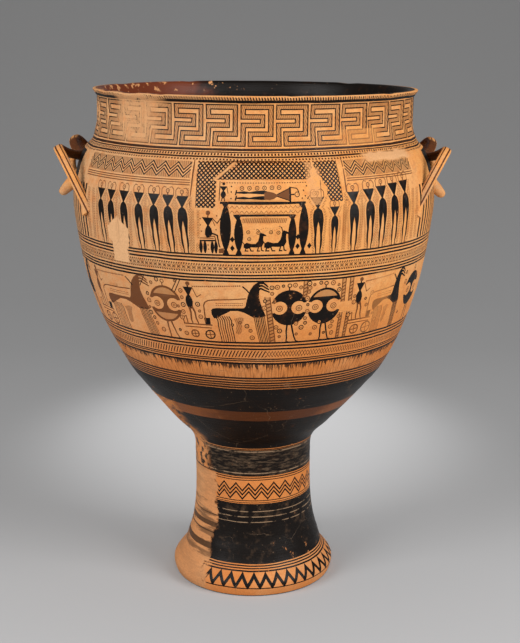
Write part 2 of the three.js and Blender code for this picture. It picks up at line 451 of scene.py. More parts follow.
class BierScene:
    """The laying-out under a chequered cloth, in the middle of the upper frieze."""

    ground = MOURNERS_STAND

    def paint(self, drawing: Drawing) -> None:
        """Paints cloth, bier, the figure on it and those round it."""
        self.cloth(drawing)
        self.bier(drawing)
        self.laid_out(drawing)
        self.attendants(drawing)
        self.animals(drawing)

    def cloth(self, drawing: Drawing) -> None:
        """The chequered cloth that hangs over the bier, with its two ends."""
        left = [(-16.9, 964), (-16.4, 880), (-10.7, 880), (-10.7, 931.5), (15.4, 931.5), (15.8, 964)]
        drawing.area(left, Tone.CHEQUERED)
        drawing.area(
            [(15.4, 931.5), (16.6, 936), (16.2, 945), (17.4, 952), (17.0, 964), (15.6, 964)],
            Tone.CHEQUERED,
        )
        right = [
            (17.6, 964), (17.8, 956), (18.3, 948), (18.6, 941), (19.9, 934), (20.2, 926), (21.6, 915),
            (21.2, 904), (22.4, 890),
        ]
        drawing.area(right + [(26.2, 889), (25.4, 964)], Tone.CHEQUERED)
        for azimuth, low, high in ((-18.1, 882, 966), (27.4, 889, 966), (-9.6, 893, 929), (19.4, 893, 929)):
            drawing.brush(azimuth, low).stroke([(0, 0), (0, high - low)], 1.8, Tone.BROWN)
        for azimuth, low, high in (
            (-17.2, 795, 876), (-15.9, 795, 812), (26.6, 795, 884), (-19.0, 884, 915),
        ):
            brush = drawing.brush(azimuth, low)
            brush.area([(-3.0, 0), (3.0, 0), (3.0, high - low), (-3.0, high - low)], Tone.CHEVRONS)

    def bier(self, drawing: Drawing) -> None:
        """The high bed with lens-shaped legs."""
        brush = drawing.brush(3.3, self.ground)
        brush.area([(-62, 77), (58, 77), (73, 97), (-72, 97)], Tone.CLAY)
        brush.stroke([(-84, 98), (76, 98)], 4.2)
        brush.stroke([(-58, 75), (56, 75)], 3.6)
        for x, y in ((-75, 98), (67, 98), (-52, 75), (49, 75)):
            brush.area([(x - 7, y + 1), (x + 9, y + 1), (x + 3, y - 9), (x, y - 9)])
        for x, low, high, half in (
            (-73, 6, 97, 9.6), (-48.5, 5, 74, 7.6), (51, 5, 74, 7.0), (72.5, 6, 97, 8.6),
        ):
            brush.lens(x, low, high, half)
            brush.area([(x - 6.5, 0), (x + 6.5, 0), (x + 1.4, 13), (x - 1.4, 13)])
        for x in range(-74, 70, 9):
            brush.stroke([(x, 79), (x + 4, 84), (x + 8, 79)], 0.9, Tone.BROWN)
            brush.stroke([(x, 88), (x + 4, 93), (x + 8, 88)], 0.9, Tone.BROWN)
        brush.area([(-41, 61), (39, 61), (41, 70), (-43, 70)], Tone.HATCHED)
        for x, y in ((-60.5, 13), (-60.5, 30), (62, 16), (85, 16), (62, 34)):
            brush.area([(x - 4.5, y), (x, y - 6), (x + 4.5, y), (x, y + 6)])

    def laid_out(self, drawing: Drawing) -> None:
        """The figure on the bier, its row of rings above."""
        brush = drawing.brush(3.3, 890.0)
        for y in (8.5, 18.5):
            leg = [
                (-55, y + 1.5), (-40, y + 3.2), (-30, y + 1.5), (-18, y + 3.6), (-4, y + 4.6),
                (10, y + 1.2), (10, y - 2),
            ]
            leg += [(-6, y - 2.6), (-18, y - 1.8), (-30, y - 1.2), (-40, y - 1.8), (-55, y - 0.8)]
            brush.area(leg)
            brush.stroke([(-56, y - 4), (-54, y + 5)], 2.6)
        brush.area(
            [(-2, 7), (8, 5.5), (16, 7.5), (23, 12), (23, 15), (15, 19), (6, 21), (-2, 19)], Tone.BROWN,
        )
        brush.area([(22, 12), (22, 15.5), (47, 27), (47, 3.5)], Tone.BROWN)
        brush.stroke([(22, 12), (47, 3.5)], 1.6)
        brush.stroke([(22, 15.5), (47, 27)], 1.6)
        brush.stroke([(47, 2), (47, 29)], 3.4)
        brush.stroke([(47, 28), (60, 26), (64, 19)], 1.8)
        brush.stroke([(47, 15), (55, 15)], 2.6)
        brush.ring(60.5, 15, 5.2, 1.5)
        brush.disc(62, 15.5, 1.2, sides=4)
        for x in (-44, -30, -15.5, -1.5, 12.5, 26):
            brush.eye(x, 27.5 + x * 0.02, 4.3)
        for i in range(33):
            brush.stroke([(-84 + i * 5.0, 36.4), (-81.4 + i * 5.0, 36.4)], 1.5)
        for x, y in ((-64, 8), (-64, 20), (-64, 30), (70, 8), (73, 22), (79, 30), (76, 12)):
            brush.disc(x, y, 1.6, sides=5)

    def attendants(self, drawing: Drawing) -> None:
        """A small figure by the feet, a seated one and the standing ones beside the bier."""
        small = drawing.brush(-8.5, 893.0)
        small.area([(-7, 27), (7, 27), (1, 18), (-1, 18)])
        small.lens(0, 5, 19, 4.2)
        small.stroke([(-2, 6), (-3, 0)], 1.8)
        small.stroke([(2, 6), (3, 0)], 1.8)
        small.disc(0, 31.5, 3.0, sides=6)
        small.stroke([(-6, 27), (-8, 12)], 1.3)
        small.stroke([(6, 27), (9, 14)], 1.3)
        seated = drawing.brush(-12.6, self.ground)
        seated.area([(-12, 71), (10, 70), (1.5, 56), (-2, 56)])
        seated.stroke([(-1, 70), (0, 75)], 2.4, Tone.BROWN)
        seated.disc(-0.5, 79, 4.6, Tone.BROWN, sides=8)
        seated.area([(-2, 56), (1.5, 56), (6, 50), (8, 41), (4, 33), (-3, 32), (-6.5, 38), (-6, 47)])
        seated.stroke([(2, 39), (9, 40), (17, 37), (18.5, 28), (20, 18), (22, 14)], 3.4, tip=2.2)
        seated.stroke([(2, 35), (12, 35), (14, 27), (17, 15)], 2.2, Tone.BROWN)
        seated.stroke([(9, 68), (17, 60), (24, 70), (29, 83)], 1.7)
        seated.stroke([(8, 66), (13, 55)], 1.5, Tone.BROWN)
        seated.stroke([(-17, 26), (14, 27)], 3.0)
        seated.stroke([(-17, 31), (10, 31)], 1.8, Tone.BROWN)
        for x in (-15, -7, 7, 14):
            seated.lens(x, 2, 26, 2.6)
        seated.area([(19, 3), (29, 3), (29, 13), (19, 11)], Tone.BROWN)
        for x, y in ((-13, 44), (-15, 56), (-15, 68), (0, 10), (-1, 18), (15, 48), (16, 74)):
            seated.disc(x, y, 1.6, Tone.BROWN, sides=5)
        seated.area([(-22, 30), (-17, 30), (-17, 84), (-22, 84)], Tone.CHEVRONS)
        Mourner(18.2, 899.0, sway=4, slim=1.05).paint(drawing)
        Mourner(23.4, 880.0, slim=0.92, sway=2).paint(drawing)
        wand = drawing.brush(15.2, self.ground)
        wand.stroke([(0, 104), (9, 116)], 1.4)
        drawing.brush(17.4, 892.0).eye(0, 14, 4.4)

    def animals(self, drawing: Drawing) -> None:
        """Two small beasts lying one behind the other under the bier."""
        for azimuth, size in ((0.2, 1.0), (6.3, 1.12)):
            brush = drawing.brush(azimuth, 799.0, size)
            body = [
                (-19, 7), (-18.5, 14), (-13, 17), (-4, 14.5), (4, 15), (8, 20), (10, 27), (10.5, 33),
                (13, 36), (17, 35),
            ]
            body += [
                (23, 31.5), (24, 29.5), (18, 29.5), (17.5, 24), (18.5, 16), (15, 9), (5, 7.5), (-5, 8),
                (-12, 4.5),
            ]
            brush.area(body)
            brush.stroke([(11.5, 34), (9.5, 41), (5, 43)], 1.7, tip=1.0)
            brush.stroke([(-14, 8), (-16, 1), (-10, 1)], 2.2)
            brush.stroke([(-8, 8), (-5, 1), (0, 1)], 2.2)
            brush.stroke([(9, 9), (7, 1), (12, 1)], 2.2)
            brush.stroke([(14, 9), (15, 2), (19, 1)], 2.2)
            brush.stroke([(-18, 14), (-22, 20)], 1.4)
        brush = drawing.brush(3.3, 799.0)
        for x, y in ((-31, 37), (-29, 24), (11, 37), (25, 36), (-12, 36)):
            brush.eye(x, y, 3.8)
        for i in range(12):
            brush.disc(-20 + i * 4.2, 43 - 2 * math.sin(i * 0.9), 0.8, sides=4)


class UpperFrieze:
    """The mourners either side of the bier, the zigzags over them and, plainer, those round the back."""

    left = (
        (-20.6, 900.0), (-25.1, 901.0), (-29.7, 901.0), (-35.2, 901.0), (-41.0, 901.0), (-46.6, 900.0),
        (-51.8, 900.0),
    )
    right = ((29.6, 905.0), (35.2, 908.0), (40.2, 911.0), (45.3, 914.0), (50.6, 916.0))
    back = tuple((azimuth, 904.0) for azimuth in (*range(118, 173, 6), *range(-172, -117, 6)))

    def paint(self, drawing: Drawing) -> None:
        """Paints figures, filling columns and zigzags."""
        rows = ((self.left, 9.0), (self.right, 3.0), (self.back, 0.0))
        for row, _ in rows:
            for azimuth, top in row:
                for shift in (-2.7, 2.7):
                    brush = drawing.brush(azimuth + shift, 796.0)
                    brush.area([(-2.2, 0), (2.2, 0), (2.4, top - 800), (-2.4, top - 800)], Tone.CHEVRONS)
        BierScene().paint(drawing)
        for row, sway in rows:
            for i, (azimuth, top) in enumerate(row):
                Mourner(azimuth, top, sway=sway + 1.5 * math.sin(2.3 * i)).paint(drawing)
        for azimuth in (-56.5, 55.5, 58.0, -59.5):
            drawing.brush(azimuth, 797.0).area([(-5, 0), (5, 0), (5, 100), (-5, 100)], Tone.CHEVRONS)
        for first, last in ((-63.0, -18.8), (27.9, 57.0), (112.0, 248.0)):
            self.zigzags(drawing, first, last)
        for first, last, heights in ((-63.0, -18.5, (929.0, 925.0, 920.5)), (28.0, 57.0, (930.0, 926.0))):
            for height in heights:
                brush = drawing.brush(0.0, height)
                brush.stroke(
                    [
                        ((first + i * 4) * brush.degree, 0.0)
                        for i in range(int((last - first) / 4) + 1)
                    ] + [(last * brush.degree, 0.0)],
                    1.8, Tone.BROWN,
                )

    def zigzags(self, drawing: Drawing, first: float, last: float) -> None:
        """A hatched strip with a reserved zigzag and three dark ones in it, between two azimuths."""
        peaks = max(1, round((last - first) / 4.45))
        step = (last - first) / peaks / 2
        brush = drawing.brush(0.0, 933.0)
        edge = [((first + i * 2 * step) * brush.degree, 0.0) for i in range(peaks + 1)]
        brush.area(edge + [(x, 30.0) for x, _ in reversed(edge)], Tone.HATCHED)
        for width, tone, rises in ((13.8, Tone.CLAY, (8.0,)), (2.5, Tone.SLIP, (1.6, 8.0, 14.4))):
            for rise in rises:
                line = [
                    ((first + i * step) * brush.degree, rise + (0.0 if i % 2 else 13.5))
                    for i in range(2 * peaks + 1)
                ]
                brush.stroke([(x, min(max(y, 0.0), 30.0)) for x, y in line], width, tone)


@dataclass
class HorseTeam:
    """A team of horses side by side, drawn as one body with many heads and legs."""

    azimuth: float
    stretch: float = 1.0
    tone: Tone = Tone.SLIP
    ground: float = CHARIOTS_STAND

    def paint(self, drawing: Drawing) -> None:
        """Paints the team."""
        brush = drawing.brush(self.azimuth, self.ground)

        def long(*points: Point) -> list[Point]:
            """Points drawn out to this team's length."""
            return [(x * self.stretch, y) for x, y in points]

        body = [
            (-47, 58), (-47.5, 66), (-44, 70), (-36, 71.5), (-24, 71.5), (-8, 72), (13, 72.5), (16, 77),
            (17.5, 85), (20, 97),
        ]
        body += [
            (24, 109), (30, 119), (37, 125), (44, 126.5), (49, 123), (42, 117), (40.5, 106), (40, 95),
            (43, 82), (48, 68), (52.5, 56),
        ]
        body += [
            (44, 53.5), (30, 53), (22, 58), (13, 63), (2, 66.5), (-12, 66), (-20, 61), (-29, 56), (-36, 51),
            (-43, 49),
        ]
        brush.area(long(*body), self.tone)
        dark = Tone.SLIP if self.tone is Tone.SLIP else Tone.BROWN
        for points in (
            [(39, 123.5), (47, 124), (52, 120), (56, 115.5)],
            [(37, 117), (45, 118.5), (52, 114), (57.5, 110)],
            [(37, 109), (43, 113), (50, 109), (59, 105)],
        ):
            brush.stroke(long(*points), 4.4, dark, tip=2.6)
        for points in ([(41, 121), (47, 121), (54, 115)], [(40, 114.5), (46, 115.5), (54, 110)]):
            brush.stroke(long(*points), 1.2, Tone.CLAY)
        for i in range(7):
            x = 31 + 3.1 * i
            run = long((x, 57), (x + 2.4, 40), (x + 6.4, 20), (x + 10.5, 0))
            brush.stroke(run, 1.9, Tone.SLIP if i % 3 else Tone.BROWN, tip=1.6)
        for i in range(7):
            x = -41 + 4.3 * i
            run = long((x, 55), (x + 4.6, 46), (x + 5.2, 30), (x + 8, 12), (x + 9, 0))
            brush.stroke(run, 2.1, Tone.BROWN if i % 3 else Tone.SLIP, tip=1.7)
        rein = long((-60, 40), (-60.5, 76), (-58, 82), (-52, 86), (-44, 87.5), (-10, 89.5), (17, 92))
        brush.stroke(rein, 2.4, Tone.BROWN)
        for row in range(2):
            for i in range(14):
                x = -38 + 3.6 * i
                y = 77 + 4 * row + 0.1 * i
                brush.stroke(long((x, y), (x + 2.2, y)), 1.6, Tone.BROWN)
        for i in range(24):
            dash = long((-80 + 3.7 * i, 113 + 0.2 * i), (-77.6 + 3.7 * i, 113.5 + 0.2 * i))
            brush.stroke(dash, 2.6, Tone.BROWN)
        brush.stroke(long((11, 117), (18, 110), (25, 101)), 2.6)
        between_legs = long((-4, 20), (1, 16), (7, 20), (9, 40), (13, 52), (6, 54), (-6, 50), (-2, 40))
        brush.area(between_legs, Tone.HATCHED)


@dataclass
class ShieldBearer:
    """A warrior behind a great shield scalloped at both sides."""

    azimuth: float
    height: float = 36.0
    width: float = 33.0
    upper: Tone = Tone.SLIP
    lower: Tone = Tone.SLIP
    ground: float = CHARIOTS_STAND

    def paint(self, drawing: Drawing) -> None:
        """Paints the figure."""
        brush = drawing.brush(self.azimuth, self.ground)
        middle = 72.0
        line = Tone.SLIP if self.lower is Tone.SLIP else Tone.BROWN
        for points in (
            [(-2, 40), (-3, 24), (-1.5, 8), (-2, 0), (3, 0)],
            [(5, 40), (9, 24), (13, 10), (17, 1), (22, 0)],
        ):
            brush.stroke(points, 3.6, line, tip=2.2)
        brush.disc(0, middle, self.width, line, 30, self.height / self.width)
        for half, tone in ((1, self.upper), (-1, self.lower)):
            if tone is line:
                continue
            arc = [math.pi * (0.14 + 0.72 * i / 12) for i in range(13)]
            crown = [
                ((self.width - 4.5) * math.cos(a), middle + half * (self.height - 4.5) * math.sin(a))
                for a in arc
            ]
            brush.area([(x, y) for x, y in crown if (y - middle) * half > 17], tone)
        for side in (-1, 1):
            brush.disc(side * 17.2, middle, 13.4, Tone.CLAY, 20)
            wedge = [
                (side * 22, middle + 9), (side * (self.width + 3), middle + 11),
                (side * (self.width + 3), middle - 11), (side * 22, middle - 9),
            ]
            brush.area(wedge, Tone.CLAY)
            brush.ring(side * 18, middle - 1, 6.4, 1.7, Tone.BROWN, sides=12)
            brush.ring(side * 18, middle - 1, 3.0, 1.5, Tone.BROWN, sides=7)
        brush.stroke([(-1, middle + self.height - 2), (-2, middle + self.height + 12)], 2.2, line)
        brush.ring(-1, middle + self.height + 9, 4.4, 1.8, line, sides=9)


@dataclass
class Chariot:
    """A driver on a light chariot, its two wheels drawn side by side."""

    azimuth: float
    wheel: float = 9.6
    ground: float = CHARIOTS_STAND
    tone: Tone = Tone.SLIP

    def paint(self, drawing: Drawing) -> None:
        """Paints driver, car and wheels."""
        brush = drawing.brush(self.azimuth, self.ground)
        brush.area([(-14, 111.5), (5, 111.5), (-2.6, 95), (-6, 95)], self.tone)
        brush.stroke([(-4.5, 110), (-4.5, 115)], 3.0, self.tone)
        brush.disc(-3.8, 118.5, 4.4, Tone.BROWN, sides=8)
        brush.area(
            [
                (-6, 96), (-2.6, 96), (1, 90), (3.2, 82), (2, 74), (0, 67), (-6, 67), (-10, 75), (-11, 84),
                (-9.5, 91),
            ],
            self.tone,
        )
        for points in ([(-5, 70), (-3, 58), (-4, 44), (-2, 36)], [(0, 72), (5, 60), (6, 46), (10, 36)]):
            brush.stroke(points, 4.2, Tone.BROWN, tip=2.2)
        brush.stroke([(4.5, 110), (8, 101), (11.5, 92), (16, 95), (20, 98)], 1.7, Tone.BROWN)
        brush.stroke([(-21, 34.5), (36, 34.5)], 3.0, Tone.BROWN)
        brush.stroke([(-19, 28), (34, 28)], 2.2, Tone.BROWN)
        brush.area([(23, 36), (33, 36), (33, 50), (21, 49)])
        brush.stroke([(-19, 35), (-22, 47), (-14, 51), (-12, 36)], 2.0, Tone.BROWN)
        for x in (-0.5, 30.0):
            size = self.wheel * (0.92 if x < 0 else 1.08)
            brush.ring(x, 14, size, 2.8, self.tone if x > 0 else Tone.BROWN, sides=16)
            for turn in (0.1, 1.67):
                dx, dy = size * 0.8 * math.cos(turn), size * 0.8 * math.sin(turn)
                brush.stroke([(x - dx, 14 - dy), (x + dx, 14 + dy)], 2.0, Tone.BROWN)


@dataclass
class HatchedBar:
    """An upright bar filled with slanting hatching, between two groups."""

    azimuth: float
    half: float = 4.0
    low: float = CHARIOTS_STAND
    high: float = 738.0
    slant: float = 0.0

    def paint(self, drawing: Drawing) -> None:
        """Paints the bar."""
        brush = drawing.brush(self.azimuth, self.low)
        tall, lean, half = self.high - self.low, self.slant, self.half
        brush.area(
            [(lean - half, 0), (lean + half, 0), (half - lean, tall), (-half - lean, tall)], Tone.THIN,
        )
        for side in (-1, 1):
            brush.stroke([(side * half + lean, 0), (side * half - lean, tall)], 2.0, Tone.BROWN)
        for i in range(int(tall / 7)):
            y = 2 + i * 7
            x = lean * (1 - 2 * y / tall)
            brush.stroke([(x - half, y), (x + half, y + 4)], 2.4, Tone.BROWN)


class ChariotFrieze:
    """The procession of chariots and shield bearers round the belly."""

    def paint(self, drawing: Drawing) -> None:
        """Paints the groups in their order, then the filling ornaments."""
        HorseTeam(-45.5, 1.2, Tone.BROWN).paint(drawing)
        ShieldBearer(-28.3, 38, 34, Tone.THIN, Tone.THIN).paint(drawing)
        Chariot(-19.2).paint(drawing)
        HorseTeam(-5.0, 1.0).paint(drawing)
        ShieldBearer(11.1, 36.5, 33.5).paint(drawing)
        ShieldBearer(22.5, 37.5, 33.5, Tone.THIN).paint(drawing)
        HatchedBar(5.3, 4.6, high=708.0, slant=6.0).paint(drawing)
        HatchedBar(15.8, 3.6, 706.0, 738.0).paint(drawing)
        for azimuth in (28.5, 31.2):
            HatchedBar(azimuth, 3.8, 690.0, 738.0, 1.0).paint(drawing)
            HatchedBar(azimuth + 0.3, 3.0, 613.0, 668.0, 1.0).paint(drawing)
        Chariot(35.4, 12.0).paint(drawing)
        HorseTeam(48.0, 0.85).paint(drawing)
        ShieldBearer(64.5, 36, 33).paint(drawing)
        Chariot(-60.5, 12.0, tone=Tone.BROWN).paint(drawing)
        for start in (84.0, 120.0, 156.0, 194.0, 230.0, 266.0):
            ShieldBearer(start, 36, 33).paint(drawing)
            HorseTeam(start + 17.0, 1.0).paint(drawing)
        self.fill(drawing)

    def fill(self, drawing: Drawing) -> None:
        """Small rings with dots in the spaces between the groups."""
        spots = [
            (5.6, 727), (5.7, 715), (7.2, 728), (9.0, 730), (12.6, 731), (14.4, 726), (17.0, 733),
            (18.6, 730), (17.2, 724),
        ]
        spots += [
            (20.6, 733), (24.6, 731), (26.6, 726), (26.9, 716), (17.0, 716), (16.6, 703), (16.9, 690),
            (16.9, 676), (16.4, 662),
        ]
        spots += [
            (15.4, 643), (14.0, 629), (13.6, 652), (16.6, 652), (20.0, 641), (18.8, 627), (21.4, 652),
            (26.0, 650), (25.6, 640),
        ]
        spots += [
            (23.5, 628), (26.4, 626), (28.0, 660), (8.4, 637), (8.4, 625), (7.2, 645), (3.6, 700),
            (3.4, 686), (-4.2, 655), (-2.0, 648),
        ]
        spots += [
            (-0.9, 638), (-0.4, 623), (-6.6, 650), (-22.4, 716), (-22.2, 702), (-22.0, 687), (-23.8, 683),
            (-22.3, 672),
        ]
        spots += [
            (-34.6, 702), (-34.4, 688), (-34.6, 674), (-34.6, 662), (-33.0, 640), (-31.0, 628),
            (-24.6, 632), (-22.4, 626), (-32.6, 726),
        ]
        spots += [
            (-17.2, 690), (-16.8, 676), (-16.6, 664), (-33.6, 652), (-23.0, 660), (-24.0, 735),
            (-30.4, 734),
        ]
        spots += [
            (33.0, 698), (33.0, 686), (37.6, 690), (40.0, 700), (38.4, 676), (31.6, 660), (42.0, 655),
            (44.0, 640), (57.5, 725), (58.0, 705), (58.0, 640),
        ]
        for i, (azimuth, height) in enumerate(spots):
            brush = drawing.brush(azimuth, height)
            size = (4.9, 4.1, 5.3, 3.4)[i % 4]
            brush.ring(0, 0, size, 1.9, Tone.BROWN if i % 3 else Tone.SLIP, sides=10)
            brush.disc(0, 0, size * 0.3, Tone.BROWN, sides=5)
        for azimuth, low, high in ((-25.4, 714, 738), (-24.4, 712, 738), (-37.2, 716, 738)):
            drawing.brush(azimuth, low).stroke([(0, 0), (14, high - low)], 1.8)


# ---------------------------------------------------------------- the vessel's mesh

class Room(Enum):
    """Which side of the clay a point is on."""

    OUTSIDE = 0.0
    BOWL = 1.0
    FOOT = 2.0


@dataclass
class Skin:
    """A mesh as it grows: its points, its faces and what each of them carries."""

    places: list[np.ndarray]
    laid: list[np.ndarray]
    rooms: list[float]
    faces: list[list[int]]
    wraps: list[list[Point]]
    tones: list[float]

    def add(self, places: np.ndarray, laid: np.ndarray, room: Room) -> list[int]:
        """Adds points and says their numbers."""
        start = len(self.places)
        self.places += list(places)
        self.laid += list(laid)
        self.rooms += [room.value] * len(places)
        return list(range(start, len(self.places)))

    def face(self, corners: list[tuple[int, Point]]) -> None:
        """Adds an unpainted face from its corners, each with its place in the unwrapping."""
        self.faces.append([corner for corner, _ in corners])
        self.wraps.append([spot for _, spot in corners])
        self.tones.append(Tone.CLAY.value)

    def mesh(self, name: str) -> bpy.types.Mesh:
        """The finished mesh, without the points that no face uses."""
        used = sorted({v for face in self.faces for v in face})
        renumber = {old: new for new, old in enumerate(used)}
        faces = [[renumber[v] for v in face] for face in self.faces]
        mesh = bpy.data.meshes.new(name)
        mesh.from_pydata([tuple(self.places[v]) for v in used], [], faces)
        for layer, kind, domain, key, values in (
            ("laid", "FLOAT_VECTOR", "POINT", "vector", [self.laid[v] for v in used]),
            ("room", "FLOAT", "POINT", "value", [self.rooms[v] for v in used]),
            ("tone", "FLOAT", "FACE", "value", self.tones),
        ):
            made = mesh.attributes.new(layer, kind, domain)
            made.data.foreach_set(key, np.array(values, np.float32).ravel())
        uv = mesh.uv_layers.new(name="OFBake")
        uv.data.foreach_set(
            "uv", np.array([spot for face in self.wraps for spot in face], np.float32).ravel(),
        )
        mesh.shade_smooth()
        mesh.validate()
        log.info("%s: %d points, %d faces", name, len(mesh.vertices), len(mesh.polygons))
        return mesh


class Body:
    """The whole vessel without its handles, painted wall, lip, bowl and hollow foot in one closed mesh."""

    columns = 216
    foot_rows = 32
    bowl_rows = 74
    clearance = 1.6
    flat = 6.5  # millimetres to the degree on the unrolled wall

    def __init__(self, form: Form) -> None:
        """Takes the form that the wall follows."""
        self.form = form
        self.drawing = Drawing(form)

    def paint(self) -> None:
        """Lays every painted outline on the wall."""
        Meander().paint(self.drawing)
        UpperFrieze().paint(self.drawing)
        ChariotFrieze().paint(self.drawing)

    def grid(self) -> list[Point]:
        """The plain points of the unrolled wall, denser at foot edge and lip."""
        low, high = self.form.low, self.form.high
        near = [low, low + 3, low + 7, low + 12, low + 18, low + 24, low + 30]
        rows = near + list(np.linspace(low + 37, 300, self.foot_rows))
        rows += [306, 312, 318, 324, 330, 336] + list(np.linspace(343, 955, self.bowl_rows))
        rows += (
            [961, 965, 969, 973, 978, 984] + list(np.linspace(991, 1066, 9))
            + [1070, 1073.5, 1077, 1080, high]
        )
        step = 360 / self.columns
        points = []
        for j, z in enumerate(rows):
            edge = j in (0, len(rows) - 1)
            shift = 0.0 if edge or j % 2 == 0 else step / 2
            ring = [-180 + i * step + shift for i in range(self.columns + (0 if shift else 1))]
            if shift:
                ring = [-180.0] + ring + [180.0]
            points += [(a * self.flat, float(z)) for a in ring]
        return points

    def unrolled(self) -> tuple[np.ndarray, list[list[int]], list[float]]:
        """Cuts the unrolled wall along every painted outline.

        Returns:
            The points in unrolled millimetres, the triangles, and the tone of each triangle.
        """
        points: list[Point] = []
        faces = []
        for outline in self.drawing.outlines:
            start = len(points)
            points += [(a * self.flat, z) for a, z in outline]
            faces.append(list(range(start, len(points))))
        painted = len(points)
        cells = {}
        for x, z in points:
            cells.setdefault((int(x // 4), int(z // 4)), []).append((x, z))
        for x, z in self.grid():
            edge = abs(abs(x) - 180 * self.flat) < 0.01 or z <= self.form.low or z >= self.form.high
            cx, cz = int(x // 4), int(z // 4)
            near = [p for i in (-1, 0, 1) for j in (-1, 0, 1) for p in cells.get((cx + i, cz + j), ())]
            if edge or all((x - p[0]) ** 2 + (z - p[1]) ** 2 > self.clearance**2 for p in near):
                points.append((x, z))
        made = delaunay_2d_cdt([Vector(p) for p in points], [], faces, 0, 1e-4, True)
        tones = [self.drawing.tones[max(ids)].value if ids else 0.0 for ids in made[5]]
        log.info(
            "unrolled wall: %d outlines, %d painted points, %d triangles", len(faces), painted,
            len(made[2]),
        )
        return np.array([tuple(v) for v in made[0]]), made[2], tones

    def build(self) -> bpy.types.Object:
        """Makes the mesh, its paint, its coordinates and its unwrapping.

        Returns:
            The vessel's object.
        """
        flat, triangles, tones = self.unrolled()
        angle = np.radians(flat[:, 0] / self.flat)
        height, radius = self.form.lift(angle, flat[:, 1])
        places = self.form.stand(
            angle, radius + self.form.dents(angle, height), self.chipped(angle, height),
        )
        laid = np.stack([radius * np.sin(angle), -radius * np.cos(angle), flat[:, 1]], 1)

        same = self.welded(flat)
        turn = 360 * self.flat
        skin = Skin(list(places), list(laid), [Room.OUTSIDE.value] * len(places), [], [], tones)
        skin.faces = [[same[v] for v in face] for face in triangles]
        skin.wraps = [
            [(flat[v][0] / turn + 0.5, 0.30 + 0.695 * flat[v][1] / HEIGHT) for v in face]
            for face in triangles
        ]
        for edge, profile, room in (
            (self.form.high, self.form.bowl_room(), Room.BOWL),
            (self.form.low, self.form.foot_room(), Room.FOOT),
        ):
            at_edge = [
                (x, same[i])
                for i, (x, z) in enumerate(flat) if abs(z - edge) < 1e-3 and x < turn / 2 - 1e-3
            ]
            self.line_room(skin, [i for _, i in sorted(at_edge)], profile, room)
        vessel = bpy.data.objects.new("krater_body", skin.mesh("krater_body"))
        bpy.context.scene.collection.objects.link(vessel)
        return vessel

    def welded(self, flat: np.ndarray) -> list[int]:
        """The point that each unrolled point becomes, once the seam's right edge is its left edge."""
        half = 180 * self.flat
        seam = [(z, i) for i, (x, z) in enumerate(flat) if abs(x + half) < 1e-3]
        same = list(range(len(flat)))
        for i, (x, z) in enumerate(flat):
            if abs(x - half) < 1e-3:
                gap, other = min((abs(z - height), j) for height, j in seam)
                same[i] = other if gap < 0.05 else i
        return same

    def line_room(self, skin: Skin, edge: list[int], profile: list[Point], room: Room) -> None:
        """Lines the bowl or the foot, from the wall's edge to the middle.

        Args:
            skin: the mesh so far.
            edge: the points of the wall's edge, in order round the vessel.
            profile: radius and height of each ring, the last one with radius 0.
            room: which of the two it is.
        """
        bowl = room is Room.BOWL
        base, tall = (0.285, -0.17) if bowl else (0.012, 0.09)
        azimuths = np.array([math.atan2(skin.laid[i][0], -skin.laid[i][1]) for i in edge])
        count = len(edge)
        last = edge
        for k, (r, z) in enumerate(profile):
            v0, v1 = base + tall * k / len(profile), base + tall * (k + 1) / len(profile)
            if r == 0.0:
                hub = skin.add(
                    self.form.stand(np.array(0.0), np.array(0.0), np.array(z))[None],
                    np.array([[0.0, 0.0, z]]), room,
                )[0]
                for i in range(count):
                    j, u0, u1 = (i + 1) % count, i / count, (i + 1) / count
                    pair = [(last[i], (u0, v0)), (last[j], (u1, v0))]
                    skin.face((pair if bowl else pair[::-1]) + [(hub, ((u0 + u1) / 2, v1))])
                break
            heights = np.full(count, z)
            reach = r + (self.form.dents(azimuths, heights) * 0.8 if 40 < z < 1078 else 0.0)
            if bowl and z > 1070:
                heights = self.chipped(azimuths, heights)
            places = self.form.stand(azimuths, reach * np.ones(count), heights)
            laid = np.stack([r * np.sin(azimuths), -r * np.cos(azimuths), np.full(count, z)], 1)
            ring = skin.add(places, laid, room)
            for i in range(count):
                j, u0, u1 = (i + 1) % count, i / count, (i + 1) / count
                quad = [(last[i], (u0, v0)), (last[j], (u1, v0)), (ring[j], (u1, v1)), (ring[i], (u0, v1))]
                skin.face(quad if bowl else quad[::-1])
            last = ring

    def chipped(self, angle: np.ndarray, height: np.ndarray) -> np.ndarray:
        """Heights with the lip's chips and unevenness taken off.

        Args:
            angle: azimuth in radians.
            height: height before wear.

        Returns:
            The height after it.
        """
        degrees = np.degrees(angle)
        loss = 0.3 + 0.12 * np.sin(9 * angle + 1) * np.sin(23 * angle)
        for centre, half, depth in (
            (-47, 5, 2.2), (-33, 3, 1.6), (-62, 4, 1.8), (12, 2, 0.9), (52, 3, 1.3), (140, 4, 1.8),
            (-118, 6, 1.6), (-152, 3, 1.2),
        ):
            loss = loss + depth * np.clip(1 - np.abs(degrees - centre) / half, 0, 1) ** 0.5
        return height - loss * eased(height, 1070, 1082)


